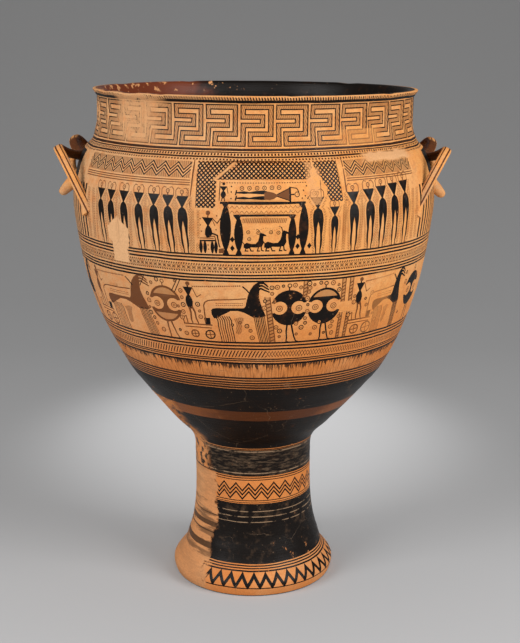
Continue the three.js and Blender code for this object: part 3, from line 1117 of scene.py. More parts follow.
@dataclass
class Handle:
    """A double-loop handle: two strap arches, the brow under their root and its blunt muzzle."""

    form: Form
    left: bool
    shift: float = -4.1
    width: float = 20.0
    thickness: float = 14.0
    root_x: float = 375.0
    root_z: float = 866.0
    tilt: float = math.radians(25)
    turn: float = math.radians(12)
    grain: float = 2.6
    arch: tuple[tuple[float, float, float], ...] = (
        (196, -26, 0), (182, 10, 0), (163, 58, 0), (143, 92, 0), (116, 107, 0), (88, 102, 3), (60, 88, 11),
        (32, 73, 24), (4, 62, 37),
    )

    @property
    def name(self) -> str:
        """The piece's name."""
        return "krater_handle_left" if self.left else "krater_handle_right"

    def arch_line(self, side: float, steps: int = 8) -> tuple[np.ndarray, np.ndarray]:
        """One arch's centre line on the +X side, before the vessel leans.

        Args:
            side: -1 for the front arch, 1 for the back one.
            steps: steps from one knot to the next.

        Returns:
            The points, and the direction square to the arch's plane.
        """
        flat = np.array([[side * away, up, -behind] for away, up, behind in self.arch], float)
        line = self.through(flat, steps)
        along_y = np.array([0.0, 1.0, 0.0])
        up_plane = np.array([math.sin(self.tilt), 0.0, math.cos(self.tilt)])
        outwards = np.cross(along_y, up_plane)
        basis = np.stack([along_y, up_plane, outwards], 1)
        spin = side * self.turn
        turn = np.array(
            [[math.cos(spin), -math.sin(spin), 0], [math.sin(spin), math.cos(spin), 0], [0, 0, 1]]
        )
        placed = line @ basis.T @ turn.T + np.array([self.root_x, 0, self.root_z])
        return placed, turn @ outwards

    @staticmethod
    def through(knots: np.ndarray, steps: int) -> np.ndarray:
        """A smooth curve through points in space, with no overshoot at uneven spacing."""
        padded = np.vstack([2 * knots[0] - knots[1], knots, 2 * knots[-1] - knots[-2]])
        line = []
        for i in range(len(knots) - 1):
            p = padded[i : i + 4]
            t = np.concatenate([[0], np.cumsum(np.sqrt(np.linalg.norm(np.diff(p, axis=0), axis=1)))])
            for s in np.linspace(t[1], t[2], steps, endpoint=False):
                a = [((t[k + 1] - s) * p[k] + (s - t[k]) * p[k + 1]) / (t[k + 1] - t[k]) for k in range(3)]
                b = [((t[k + 2] - s) * a[k] + (s - t[k]) * a[k + 1]) / (t[k + 2] - t[k]) for k in range(2)]
                line.append(((t[2] - s) * b[0] + (s - t[1]) * b[1]) / (t[2] - t[1]))
        return np.vstack([line, knots[-1]])

    def strap(self, work: bmesh.types.BMesh, side: float) -> None:
        """Adds one strap arch to the work."""
        line, square = self.arch_line(side)
        count = len(line)
        along = np.gradient(line, axis=0)
        rings = []
        for i, point in enumerate(line):
            tangent = along[i] / np.linalg.norm(along[i])
            across = square - tangent * (square @ tangent)
            across /= np.linalg.norm(across)
            over = np.cross(tangent, across)
            flare = 1 + 0.9 * max(0.0, 1 - i / 7) ** 2 + 0.25 * max(0.0, 1 - (count - 1 - i) / 8) ** 2
            ring = []
            for k in range(16):
                a = 2 * math.pi * k / 16
                c, s = math.cos(a), math.sin(a)
                x = math.copysign(abs(c) ** 0.55, c) * self.width / 2 * flare
                y = math.copysign(abs(s) ** 0.55, s) * self.thickness / 2 * min(flare, 1.5)
                ring.append(work.verts.new(point + across * x + over * y))
            rings.append(ring)
        for a, b in zip(rings, rings[1:]):
            for k in range(16):
                work.faces.new((a[k], a[(k + 1) % 16], b[(k + 1) % 16], b[k]))
        work.faces.new(rings[0][::-1])
        work.faces.new(rings[-1])

    def muzzle(self, work: bmesh.types.BMesh) -> None:
        """Adds the brow on the wall and the blunt muzzle that it runs down into."""
        swell = bmesh.ops.create_uvsphere(work, u_segments=20, v_segments=14, radius=1.0)
        for vert in swell["verts"]:
            vert.co = Vector((vert.co.x * 8 + 386, vert.co.y * 14, vert.co.z * 34 + 908))
        root, tip, length, droop = 15.0, 10.0, 56.0, math.radians(45)
        profile = [
            (0.0, -12.0), (0.95 * root, -10.0), (root, 0.0), (root * 0.93, length * 0.3),
            (root * 0.84, length * 0.55),
        ]
        profile += [(tip * 1.06, length - tip * 1.25)]
        profile += [
            (tip * math.cos(math.radians(a)), length - tip * (1 - math.sin(math.radians(a))))
            for a in (10, 35, 60, 80)
        ]
        profile += [(0.0, length)]
        heading = Vector((math.cos(droop), 0, -math.sin(droop)))
        upper = Vector((math.sin(droop), 0, math.cos(droop)))
        start = Vector((374, 0, 893))
        rings = []
        for radius, reach in profile:
            if radius == 0.0:
                rings.append([work.verts.new(start + heading * reach)])
                continue
            ring = []
            for k in range(20):
                a = 2 * math.pi * k / 20
                ring.append(
                    work.verts.new(
                        start + heading * reach + Vector((0, 1, 0)) * radius * math.cos(a)
                        + upper * radius * math.sin(a)
                    )
                )
            rings.append(ring)
        for a, b in zip(rings, rings[1:]):
            for k in range(20):
                j = (k + 1) % 20
                if len(a) == 1:
                    work.faces.new((a[0], b[k], b[j]))
                elif len(b) == 1:
                    work.faces.new((a[k], b[0], a[j]))
                else:
                    work.faces.new((a[k], b[k], b[j], a[j]))

    def build(self) -> bpy.types.Object:
        """Joins the handle's parts into one skin, settles it in the wall and notes where its paint lies.

        Returns:
            The handle's object.
        """
        work = bmesh.new()
        for side in (-1.0, 1.0):
            self.strap(work, side)
        self.muzzle(work)
        bmesh.ops.recalc_face_normals(work, faces=work.faces)
        mesh = bpy.data.meshes.new(self.name)
        work.to_mesh(mesh)
        work.free()
        handle = bpy.data.objects.new(self.name, mesh)
        bpy.context.scene.collection.objects.link(handle)
        skin = handle.modifiers.new("one_skin", "REMESH")
        skin.mode, skin.voxel_size, skin.adaptivity = "VOXEL", self.grain, 0.0
        ease = handle.modifiers.new("wet_hands", "SMOOTH")
        ease.factor, ease.iterations = 0.5, 4
        graph = bpy.context.evaluated_depsgraph_get()
        skinned = bpy.data.meshes.new_from_object(handle.evaluated_get(graph))
        handle.modifiers.clear()
        handle.data = skinned
        skinned.name = self.name
        count = len(skinned.vertices)
        at = np.empty(count * 3)
        skinned.vertices.foreach_get("co", at)
        at = at.reshape(-1, 3)
        places, reach_of = self.paint_places(at)
        if self.left:
            at = at * np.array([-1, -1, 1])
        at[:, 0] += self.shift
        reach = np.hypot(at[:, 0], at[:, 1])
        least = self.form.radius(at[:, 2]) - WALL / 2
        push = np.where(reach < least, least / np.maximum(reach, 1), 1.0)
        at[:, 0] *= push
        at[:, 1] *= push
        angle, radius = np.arctan2(at[:, 0], -at[:, 1]), np.hypot(at[:, 0], at[:, 1])
        skinned.vertices.foreach_set("co", self.form.stand(angle, radius, at[:, 2]).ravel())
        lay = skinned.attributes.new("laid", "FLOAT_VECTOR", "POINT")
        lay.data.foreach_set("vector", at.astype(np.float32).ravel())
        strap = skinned.attributes.new("strap", "FLOAT_VECTOR", "POINT")
        strap.data.foreach_set("vector", places.astype(np.float32).ravel())
        away = skinned.attributes.new("reach", "FLOAT", "POINT")
        away.data.foreach_set("value", reach_of.astype(np.float32))
        skinned.shade_smooth()
        skinned.update()
        log.info("%s: %d points, %d faces", self.name, count, len(skinned.polygons))
        return handle

    def paint_places(self, at: np.ndarray) -> tuple[np.ndarray, np.ndarray]:
        """Where each point lies on its strap.

        Args:
            at: the points, on the +X side before the vessel leans.

        Returns:
            The share of the way along the arch, the place across the strap from its inner edge at -1 to
            its outer at 1, the same from its hollow side to its crown, and the distance from its centre.
        """
        best = np.full(len(at), 1e9)
        places = np.zeros((len(at), 3))
        for side in (-1.0, 1.0):
            line, square = self.arch_line(side)
            along = np.gradient(line, axis=0)
            middle = line[len(line) // 2 :].mean(axis=0) * 0.5 + line[0] * 0.5
            for i, point in enumerate(line):
                tangent = along[i] / np.linalg.norm(along[i])
                crown = np.cross(tangent, square)
                crown *= np.sign(crown @ (point - middle)) / np.linalg.norm(crown)
                gap = at - point
                distance = np.linalg.norm(gap, axis=1)
                closer = distance < best
                best = np.where(closer, distance, best)
                here = np.stack(
                    [
                        np.full(len(at), i / (len(line) - 1)), gap @ square / (self.width / 2),
                        gap @ crown / (self.thickness / 2),
                    ],
                    1,
                )
                places[closer] = here[closer]
        return places, best


# ---------------------------------------------------------------- finishes

class Wire:
    """A shader value that arithmetic can be done on; each step adds its node."""

    def __init__(self, bench: "Bench", socket: bpy.types.NodeSocket) -> None:
        """Takes the bench that it is on and the socket that it comes from."""
        self.bench = bench
        self.socket = socket

    def __add__(self, other: "Wire | float") -> "Wire":
        """This plus other."""
        return self.bench.maths("ADD", self, other)

    def __radd__(self, other: float) -> "Wire":
        """Other plus this."""
        return self.bench.maths("ADD", other, self)

    def __sub__(self, other: "Wire | float") -> "Wire":
        """This less other."""
        return self.bench.maths("SUBTRACT", self, other)

    def __rsub__(self, other: float) -> "Wire":
        """Other less this."""
        return self.bench.maths("SUBTRACT", other, self)

    def __mul__(self, other: "Wire | float") -> "Wire":
        """This times other."""
        return self.bench.maths("MULTIPLY", self, other)

    def __rmul__(self, other: float) -> "Wire":
        """Other times this."""
        return self.bench.maths("MULTIPLY", other, self)

    def __truediv__(self, other: "Wire | float") -> "Wire":
        """This divided by other."""
        return self.bench.maths("DIVIDE", self, other)

    def __gt__(self, other: "Wire | float") -> "Wire":
        """1 where this is over other, or else 0."""
        return self.bench.maths("GREATER_THAN", self, other)

    def __lt__(self, other: "Wire | float") -> "Wire":
        """1 where this is under other, or else 0."""
        return self.bench.maths("LESS_THAN", self, other)

    def __or__(self, other: "Wire | float") -> "Wire":
        """The larger of the two: either mask."""
        return self.bench.maths("MAXIMUM", self, other)

    def __and__(self, other: "Wire | float") -> "Wire":
        """The smaller of the two: both masks."""
        return self.bench.maths("MINIMUM", self, other)

    def __abs__(self) -> "Wire":
        """This without its sign."""
        return self.bench.maths("ABSOLUTE", self)


Value = Wire | float
Colour = tuple[float, float, float]


class Bench:
    """A material being mixed: it makes nodes and wires them."""

    def __init__(self, name: str) -> None:
        """Starts an empty material of that name."""
        self.material = bpy.data.materials.new(name)
        self.material.use_nodes = True
        self.tree = self.material.node_tree
        self.tree.nodes.clear()

    def node(
        self, kind: str, settings: dict[str, object] | None = None,
        inputs: dict[object, object] | None = None,
    ) -> bpy.types.Node:
        """Makes a node.

        Args:
            kind: the node's type.
            settings: its properties, set first.
            inputs: a value or wire for each named or numbered socket.

        Returns:
            The node.
        """
        made = self.tree.nodes.new(kind)
        for key, value in (settings or {}).items():
            setattr(made, key, value)
        for key, value in (inputs or {}).items():
            if isinstance(value, Wire):
                self.tree.links.new(value.socket, made.inputs[key])
            else:
                made.inputs[key].default_value = value
        return made

    def finish(self, inputs: dict[object, object]) -> bpy.types.Material:
        """Gives the material its surface, with these inputs, and hands it over."""
        surface = self.node("ShaderNodeBsdfPrincipled", {}, inputs)
        output = self.node("ShaderNodeOutputMaterial")
        self.tree.links.new(surface.outputs[0], output.inputs["Surface"])
        return self.material

    def maths(self, operation: str, *values: Value) -> Wire:
        """One step of arithmetic."""
        made = self.node("ShaderNodeMath", {"operation": operation}, dict(enumerate(values)))
        return Wire(self, made.outputs[0])

    def mix(self, share: Value, first: Wire | Colour, second: Wire | Colour, how: str = "MIX") -> Wire:
        """A colour share of the way from first to second."""
        colours = [c if isinstance(c, Wire) else (*c, 1.0) for c in (first, second)]
        made = self.node(
            "ShaderNodeMix", {"data_type": "RGBA", "blend_type": how},
            {0: share, 6: colours[0], 7: colours[1]},
        )
        return Wire(self, made.outputs[2])

    def near(self, value: Wire, centre: float, half: float) -> Wire:
        """1 within half of centre, or else 0."""
        return self.maths("COMPARE", value, centre, half)

    def between(self, value: Wire, low: float, high: float) -> Wire:
        """1 from low to high, or else 0."""
        return self.near(value, (low + high) / 2, (high - low) / 2)

    def ease(self, value: Wire, low: float, high: float) -> Wire:
        """0 at low to 1 at high, smooth and held beyond; high may be the smaller."""
        made = self.node(
            "ShaderNodeMapRange", {"interpolation_type": "SMOOTHSTEP"},
            {"Value": value, "From Min": low, "From Max": high},
        )
        return Wire(self, made.outputs[0])

    def attribute(self, name: str, output: str = "Fac") -> Wire:
        """A value that the mesh carries."""
        return Wire(self, self.node("ShaderNodeAttribute", {"attribute_name": name}).outputs[output])

    def parts(self, vector: Wire) -> tuple[Wire, Wire, Wire]:
        """The three numbers of a vector."""
        made = self.node("ShaderNodeSeparateXYZ", {}, {0: vector})
        return tuple(Wire(self, socket) for socket in made.outputs)

    def vector(self, x: Value, y: Value, z: Value) -> Wire:
        """A vector of three numbers."""
        return Wire(self, self.node("ShaderNodeCombineXYZ", {}, {0: x, 1: y, 2: z}).outputs[0])

    def stretch(self, vector: Wire, by: Colour) -> Wire:
        """A vector times one number on each axis."""
        return Wire(
            self,
            self.node("ShaderNodeVectorMath", {"operation": "MULTIPLY"}, {0: vector, 1: by}).outputs[0],
        )

    def noise(self, vector: Wire, scale: float, detail: float = 2.0, rough: float = 0.5) -> Wire:
        """Cloudy noise about 0.5, scale in patches to the unit."""
        made = self.node(
            "ShaderNodeTexNoise", {"noise_dimensions": "3D"},
            {"Vector": vector, "Scale": scale, "Detail": detail, "Roughness": rough},
        )
        return Wire(self, made.outputs[0])

    def cells(self, vector: Wire, scale: float, feature: str = "F1", output: str = "Distance") -> Wire:
        """Cell noise: the distance to the nearest point or edge."""
        made = self.node("ShaderNodeTexVoronoi", {"feature": feature}, {"Vector": vector, "Scale": scale})
        return Wire(self, made.outputs[output])


@dataclass(frozen=True)
class ClayLook:
    """The colours and gloss of the fired clay and of its slip."""

    buff: Colour = (0.57, 0.30, 0.135)
    orange: Colour = (0.72, 0.315, 0.092)
    deep_orange: Colour = (0.60, 0.185, 0.040)
    cream: Colour = (0.70, 0.40, 0.19)
    slip: Colour = (0.0045, 0.0025, 0.0016)
    thin_slip: Colour = (0.062, 0.019, 0.005)
    brown_slip: Colour = (0.105, 0.028, 0.006)
    red_slip: Colour = (0.17, 0.035, 0.012)
    dust: Colour = (0.30, 0.19, 0.11)
    plaster: Colour = (0.66, 0.37, 0.18)


class Spot:
    """Where a point of the wall lies, and the noises that its finish is made from."""

    def __init__(self, bench: Bench) -> None:
        """Reads what the mesh carries and makes the noises."""
        laid = self.laid = bench.attribute("laid", "Vector")
        self.x, self.y, self.height = bench.parts(laid)
        self.azimuth = bench.maths("ARCTAN2", self.x, self.y * -1.0) * (180 / math.pi)
        self.tone = bench.attribute("tone")
        room = bench.attribute("room")
        self.out, self.inside = room < 0.5, room > 0.5
        self.broad = bench.noise(laid, 0.006, 2.0)
        self.cloud = bench.noise(laid, 0.022, 4.0, 0.6)
        self.patch = bench.noise(laid, 0.06, 4.0, 0.6)
        self.fine = bench.noise(laid, 0.35, 3.0, 0.65)
        self.grain = bench.noise(laid, 1.3, 2.0, 0.6)
        self.scraped = bench.noise(bench.stretch(laid, (0.5, 0.5, 2.6)), 0.10, 4.0, 0.7)
        self.brushed = bench.noise(
            bench.vector(self.azimuth * 0.03, self.height * 0.085, self.patch * 0.6), 1.0, 3.0, 0.6,
        )
        self.streak = bench.noise(bench.vector(self.azimuth * 2.3, self.height * 0.035, 0.0), 1.0, 2.0, 0.6)
        wobble = (bench.noise(bench.stretch(laid, (1.0, 1.0, 2.0)), 0.012, 2.0) - 0.5) * 3.0
        self.z = self.height + wobble
        self.hangs = bench.between(self.z, *FRINGE)
        self.brown_band = bench.between(self.z, *BROWN_BAND)


class Wear:
    """What the years and the repairers did to the wall, each as how much of the slip it took."""

    def __init__(self, bench: Bench, at: Spot) -> None:
        """Works out every loss."""
        azimuth, height, z = at.azimuth, at.height, at.z
        cloud, patch, fine = at.cloud, at.patch, at.fine
        ease, between = bench.ease, bench.between

        # scraped bare at the left of stem and foot, with remnants of slip
        self.left_foot = ease(azimuth * -1.0 + patch * 22.0 + cloud * 10.0, 52.0, 56.0)
        self.left_foot = self.left_foot * ease(azimuth * -1.0, 150.0, 120.0) * ease(height, 262.0, 254.0)
        bands = (
            between(z, 84.0, 97.0) | between(z, 132.0, 143.0) | bench.near(z, 120.0, 1.6)
            | bench.near(z, 160.0, 1.2)
        )
        remnant = (ease(at.brushed, 0.48, 0.60) * 0.65 | bands) * between(height, 62.0, 196.0)
        self.bare = self.left_foot * (1 - remnant * 0.85)
        pale_side = ease(azimuth * -1.0 + cloud * 20.0, 52.0, 66.0) * ease(azimuth * -1.0, 130.0, 110.0)
        lower_left = pale_side * between(height, 262.0, 440.0) * ease(patch, 0.40, 0.52)

        # rubbed and flaked all over
        worn = ease(patch + fine * 0.35 + (at.broad - 0.5) * 0.6, 0.90, 0.98)
        self.nibble = ease(fine * 0.75 + at.grain * 0.25, 0.66, 0.76)

        # faded or lost in patches: neck, cloth, shoulder and belly
        self.faded = ease(abs(azimuth + 44.0) - cloud * 18.0, 6.0, -4.0) * ease(height, 984.0, 1000.0)
        self.faded = self.faded * ease(fine * 0.4 + patch * 0.6, 0.38, 0.50)
        strip = abs(azimuth - 17.6 - (height - 920.0) * -0.02) - patch * 2.6 - fine * 2.0
        self.streaked = ease(strip, 0.2, -1.1) * between(height, 884.0, 962.0)
        self.streaked = self.streaked * ease(fine * 0.4 + patch * 0.6, 0.42, 0.54) * 0.6
        across = abs((azimuth + 7.5) * 6.6 - (height - 952.0) * 1.2) - patch * 10.0
        cross_loss = (
            ease(across, 1.0, -3.0) * between(height, 930.0, 962.0) * bench.near(azimuth, -7.5, 6.0)
        )
        right_neck = ease(abs(azimuth - 38.0) - cloud * 12.0, 6.0, 0.0) * between(height, 990.0, 1018.0)
        self.shoulder = ease(abs(azimuth - 48.0) - cloud * 12.0, 9.0, 2.0)
        self.shoulder = self.shoulder * ease(abs(height - 964.0) - patch * 14.0, 4.0, -2.0)
        belly_patch = ease(abs(azimuth - 44.0) - cloud * 14.0, 0.0, -4.0) * between(height, 616.0, 740.0)

        # the modern fill among the left mourners
        from_middle = (
            abs((azimuth + 43.6) * 6.6) * 0.72 + bench.maths("MAXIMUM", abs(height - 816.0) - 12.0, 0.0)
        )
        fill = ease(from_middle - cloud * 9.0 - patch * 10.0, 13.5, 12.0)
        fill_foot = (
            ease(abs(azimuth + 43.2) - patch * 4.4 - fine * 1.2, 0.9, 0.5) * between(height, 760.0, 806.0)
        )
        self.plaster = fill | fill_foot

        self.loss = (
            self.bare | (worn * 0.9) | lower_left | (self.faded * 0.85) | self.streaked | (cross_loss * 0.8)
        )
        self.loss = self.loss | (right_neck * 0.4) | self.shoulder | (belly_patch * 0.4) | self.plaster

        # the joins between its sherds
        lumpy = bench.vector(at.x + patch * 30.0, at.y + cloud * 30.0, height + patch * 24.0)
        joint = bench.cells(lumpy, 0.0068, "DISTANCE_TO_EDGE")
        self.joins = ease(joint, 0.0045, 0.001) * ease(cloud, 0.40, 0.62)


class KraterFinish:
    """Makes the painted wall's material and the handles' from one look."""

    def __init__(self, look: ClayLook) -> None:
        """Takes the look that both share."""
        self.look = look

    # -- the wall's painted bands

    lines = (  # middle and half width of each painted line, from the lip down
        (1071.8, 2.8), (984.2, 2.3), (979.3, 1.1), (971.2, 1.5),
        (791.0, 1.7), (785.0, 1.7), (778.2, 1.8), (751.6, 1.7), (745.6, 1.7), (739.6, 1.8),
        (611.6, 1.9), (604.8, 1.8), (597.6, 1.9), (575.0, 1.4), (570.6, 1.3), (564.6, 2.2),
        (529.3, 2.2), (523.4, 1.9), (517.4, 2.2), (511.8, 2.0), (506.2, 2.4),
        (322.0, 1.4), (255.6, 1.2), (250.6, 1.0), (203.0, 1.0), (198.4, 0.8),
        (62.5, 1.4), (57.6, 1.3), (52.8, 1.4), (20.6, 1.3),
    )
    scores = ((266.0, 1.2), (178.5, 0.9), (166.0, 1.1), (154.0, 0.9), (316.0, 1.4))

    def rings(self, bench: Bench, z: Wire) -> Wire:
        """The plain painted lines and zones round the wall."""
        mask = self.any_near(bench, z, self.lines)
        for zone in (UPPER_ZONE, LOWER_ZONE, STEM_ZONE, FOOT_ZONE):
            mask = mask | bench.between(z, *zone)
        return mask

    @staticmethod
    def any_near(bench: Bench, z: Wire, lines: Iterable[tuple[float, float]]) -> Wire:
        """1 on any of the lines, each with its middle and half width."""
        masks = [bench.near(z, *line) for line in lines]
        return reduce(or_, masks)

    def wave(self, bench: Bench, azimuth: Wire, period: float) -> Wire:
        """0 to 1 and back over each period of azimuth."""
        return bench.maths("PINGPONG", azimuth, period / 2) * (2 / period)

    def zigzag(
        self, bench: Bench, azimuth: Wire, z: Wire, period: float, low: float, high: float, half: float,
    ) -> Wire:
        """One zigzag line between two heights."""
        line = self.wave(bench, azimuth, period) * (high - low) + low
        return bench.near(z - line, 0.0, half)

    def small_bands(self, bench: Bench, azimuth: Wire, z: Wire) -> Wire:
        """The ticks, dots and zigzags of the narrow bands."""
        tick = bench.maths("FRACT", azimuth / 0.9 + z * 0.06) < 0.5
        mask = tick & bench.near(z, 1077.6, 2.9)
        dense = bench.maths("FRACT", azimuth / 1.05) < 0.52
        mask = mask | (dense & (bench.near(z, 975.6, 1.9) | bench.near(z, 967.0, 1.3)))
        crossing = (
            self.zigzag(bench, azimuth, z, 1.58, 757.5, 772.0, 1.1)
            | self.zigzag(bench, azimuth, z, 1.58, 772.0, 757.5, 1.1)
        )
        heart = bench.maths("FRACT", azimuth / 1.58 + 0.5)
        dots = bench.near(heart, 0.5, 0.13) & bench.near(z, 764.8, 1.7)
        fine = (
            (bench.maths("FRACT", azimuth / 0.79) < 0.5)
            & (bench.near(z, 758.0, 1.2) | bench.near(z, 772.0, 1.2))
        )
        mask = mask | crossing | dots | fine
        slant = (bench.maths("FRACT", azimuth / 1.15 - z * 0.078) < 0.38) & bench.between(z, 579.0, 593.5)
        cross = (
            self.zigzag(bench, azimuth, z, 2.1, 580.5, 592.5, 1.1)
            | self.zigzag(bench, azimuth, z, 2.1, 592.5, 580.5, 1.1)
        )
        right = bench.between(azimuth, 4.0, 60.0)
        mask = mask | (slant & (1 - right)) | (cross & right)
        for rise in (0.0, 9.5, 19.0):
            mask = mask | self.zigzag(bench, azimuth + 10.2, z, 12.4, 207 + rise, 224 + rise, 2.5)
        return mask | self.zigzag(bench, azimuth + 3.4, z, 8.6, 24.5, 46.0, 6.6)

    def handle_zone(self, bench: Bench, azimuth: Wire, z: Wire) -> Wire:
        """Dark on the wall under each handle's arches, and long stripes below it."""
        side = abs(abs(azimuth) - 90.0)
        dark = (side < 17.0) & bench.between(z, 902.0, 962.0)
        stripes = (
            (bench.maths("FRACT", azimuth / 2.4) < 0.45) & (side < 30.0) & bench.between(z, 794.0, 902.0)
        )
        return dark | stripes

    def figures(self, bench: Bench, azimuth: Wire, height: Wire) -> Wire:
        """How thickly the painted outlines carry slip, with the fine filling of the lighter ones."""
        tone = bench.attribute("tone")
        row = bench.maths("FRACT", height / 4.9 + self.wave(bench, azimuth, 0.74) * 0.8) < 0.46
        hatch = bench.maths("FRACT", azimuth / 0.62 + height * 0.09) < 0.42
        across = bench.maths("PINGPONG", azimuth, 0.64) / 1.28
        upward = bench.maths("PINGPONG", height, 4.1) / 8.2
        chequer = abs(across + upward - 0.5) < 0.232
        painted = (
            (tone > 0.9) | (bench.between(tone, 0.7, 0.8) * chequer)
            | (bench.between(tone, 0.4, 0.6) * 0.93)
        )
        painted = (
            painted | (bench.between(tone, 0.3, 0.4) * 0.40)
            | (bench.between(tone, 0.2, 0.3) * (hatch * 0.46 + 0.30))
        )
        return painted | (bench.between(tone, 0.1, 0.2) * row * 0.70)

    def laid_slip(self, bench: Bench, at: "Spot", lines: Wire) -> Wire:
        """Where the slip lay when the vessel left the kiln: every line, zone and figure, and the fringe."""
        reaches = bench.ease(at.z, 563.0, 545.0) * 0.26 + 0.44
        fringe = (at.streak > reaches) * at.hangs * 0.85
        return (
            (self.figures(bench, at.azimuth, at.height) | lines | fringe | at.brown_band) * at.out
            | at.inside
        )

    def ground(self, bench: Bench, at: "Spot", wear: "Wear") -> Wire:
        """The clay's own colour: buff at the left, orange at the right and redder low down."""
        look = self.look
        warm = bench.ease(at.azimuth + (at.cloud - 0.5) * 60.0, -48.0, 18.0)
        ground = bench.mix(warm, look.buff, look.orange)
        low_down = bench.ease(at.height + (at.cloud - 0.5) * 120.0, 760.0, 540.0)
        ground = bench.mix(low_down * 0.8, ground, look.deep_orange)
        ground = bench.mix(bench.ease(at.broad, 0.40, 0.68) * 0.4, ground, look.cream)
        ground = bench.mix(bench.ease(at.patch, 0.38, 0.8) * 0.6, ground, look.deep_orange)
        ground = bench.mix(bench.ease(at.streak, 0.40, 0.75) * at.hangs * 0.7, ground, look.brown_slip)
        smeared = bench.ease(at.brushed * 0.6 + at.scraped * 0.4, 0.40, 0.62)
        ground = bench.mix(wear.left_foot * smeared * 0.45, ground, look.brown_slip)
        pale = (
            wear.plaster | (wear.shoulder * 0.8) | (wear.faded * 0.35) | (wear.streaked * 0.6)
            | (wear.left_foot * 0.38)
        )
        return bench.mix(pale, ground, look.plaster)

    def dark(self, bench: Bench, at: "Spot", lines: Wire, red_room: Wire) -> Wire:
        """The slip's colour: black where thick, brown where thin, dusty where scored and red in the lip,
        with the brown band painted paler towards both sides as a reflection of the side lamps.
        """
        look = self.look
        brown_lines = bench.between(at.tone, 0.1, 0.6)
        for band in (LOW_LINES, LOZENGE_BAND, STROKE_BAND, DOT_BANDS):
            brown_lines = brown_lines | bench.between(at.z, *band)
        thin = bench.ease(at.patch + (at.cloud - 0.5) * 0.8, 0.52, 0.84)
        dark = bench.mix(
            (thin * (0.55 - lines * 0.37)) | (lines * brown_lines * 0.45), look.slip, look.thin_slip,
        )
        dark = bench.mix(brown_lines * (1 - lines) * 0.85, dark, look.brown_slip)
        turned = bench.maths("PINGPONG", at.z, 2.1) * 0.2 + 0.75
        dark = bench.mix(at.brown_band * at.out * turned, dark, look.brown_slip)
        # painted reflection: the brown band turns paler towards both sides, standing in for the side lamps
        # glancing off its gloss
        painted_side_sheen = bench.ease(abs(at.azimuth - 8.0) + (at.cloud - 0.5) * 30.0, 24.0, 40.0)
        dark = bench.mix(at.brown_band * at.out * painted_side_sheen * 0.22, dark, look.deep_orange)
        stem_wear = bench.between(at.z, *STEM_ZONE) * bench.ease(at.scraped, 0.44, 0.66)
        scored = self.any_near(bench, at.z, self.scores) * bench.ease(at.patch, 0.36, 0.52)
        dusty = (stem_wear * 0.25) | (scored * 0.8) | (bench.between(at.height, *FOOT_ZONE) * thin * 0.12)
        dark = bench.mix(dusty, dark, look.dust)
        return bench.mix(red_room * 0.85, dark, look.red_slip)

    def wall(self) -> bpy.types.Material:
        """The painted wall, its inside and its underside, with their wear."""
        look = self.look
        bench = Bench("painted_fired_clay")
        at = Spot(bench)
        wear = Wear(bench, at)
        azimuth, z = at.azimuth, at.z
        lines = (
            self.rings(bench, z) | self.small_bands(bench, azimuth, z) | self.handle_zone(bench, azimuth, z)
        )
        kept = (
            self.laid_slip(bench, at, lines) * (1 - (wear.loss & at.out)) * (1 - wear.nibble * 0.6 * at.out)
        )

        leftwards = at.x * -1.0 + at.cloud * 130.0
        near_lip = bench.ease(at.height + at.patch * 40.0, 1050.0, 1075.0)
        red_room = at.inside * bench.ease(leftwards, 150.0, 230.0) * near_lip
        dark = self.dark(bench, at, lines, red_room)
        chips = at.inside * bench.ease(leftwards, 70.0, 130.0) * bench.ease(at.patch, 0.58, 0.62)
        chips = chips * bench.ease(at.height, 1058.0, 1066.0)
        colour = bench.mix(kept * (1 - chips), self.ground(bench, at, wear), dark)
        specks = bench.ease(bench.cells(at.laid, 0.11), 0.16, 0.10) * bench.ease(at.patch, 0.50, 0.60)
        colour = bench.mix(specks * 0.4, colour, look.dust)
        colour = bench.mix(wear.joins * 0.34 * at.out, colour, look.dust)
        gritty = bench.ease(at.grain * 0.5 + at.fine * 0.5, 0.32, 0.68)
        colour = bench.mix(gritty * (1 - kept) * 0.26, colour, look.thin_slip)

        gloss = 0.78 - kept * 0.36 + (at.fine - 0.5) * 0.22 - at.inside * 0.06
        turning = bench.noise(bench.stretch(at.laid, (0.02, 0.02, 1.0)), 0.42, 2.0)
        relief = at.fine * 0.35 + at.grain * 0.25 + turning * 0.6 + kept * 0.12 - wear.joins * 0.8
        relief = relief - (wear.plaster | wear.bare) * 0.35
        return self.shader(bench, colour, gloss, relief, 0.55, 0.0009)

    def handle(self) -> bpy.types.Material:
        """The handles: light outer faces with dark lines along them, dark between."""
        look = self.look
        bench = Bench("handle_fired_clay")
        laid = bench.attribute("laid", "Vector")
        along, across, over = bench.parts(bench.attribute("strap", "Vector"))
        reach = bench.attribute("reach")
        cloud = bench.noise(laid, 0.03, 3.0)
        patch = bench.noise(laid, 0.09, 4.0, 0.6)
        fine = bench.noise(laid, 0.4, 3.0, 0.65)
        strap = reach < 15.5
        crown = over > 0.35
        face = across > 0.82
        lines = bench.between(across, 0.30, 0.62) | bench.between(across, -0.62, -0.38)
        rear = bench.ease(along + (patch - 0.5) * 0.1, 0.60, 0.66)
        plain = (crown * (1 - lines) * (1 - rear)) | face
        slip = strap * (1 - plain)
        nibble = bench.ease(fine + (patch - 0.5) * 0.5, 0.60, 0.70)
        kept = slip * (1 - nibble * 0.6)
        ground = bench.mix(bench.ease(cloud, 0.35, 0.65), look.buff, look.orange)
        ground = bench.mix(bench.ease(patch, 0.4, 0.8) * 0.5, ground, look.deep_orange)
        dark = bench.mix(bench.ease(patch, 0.42, 0.62), look.brown_slip, look.thin_slip)
        colour = bench.mix(kept, ground, dark)
        colour = bench.mix(bench.ease(fine, 0.35, 0.75) * 0.25, colour, look.thin_slip)
        gloss = 0.76 - kept * 0.28 + (fine - 0.5) * 0.2
        relief = fine * 0.5 + patch * 0.6 + kept * 0.12
        return self.shader(bench, colour, gloss, relief, 0.5, 0.001)

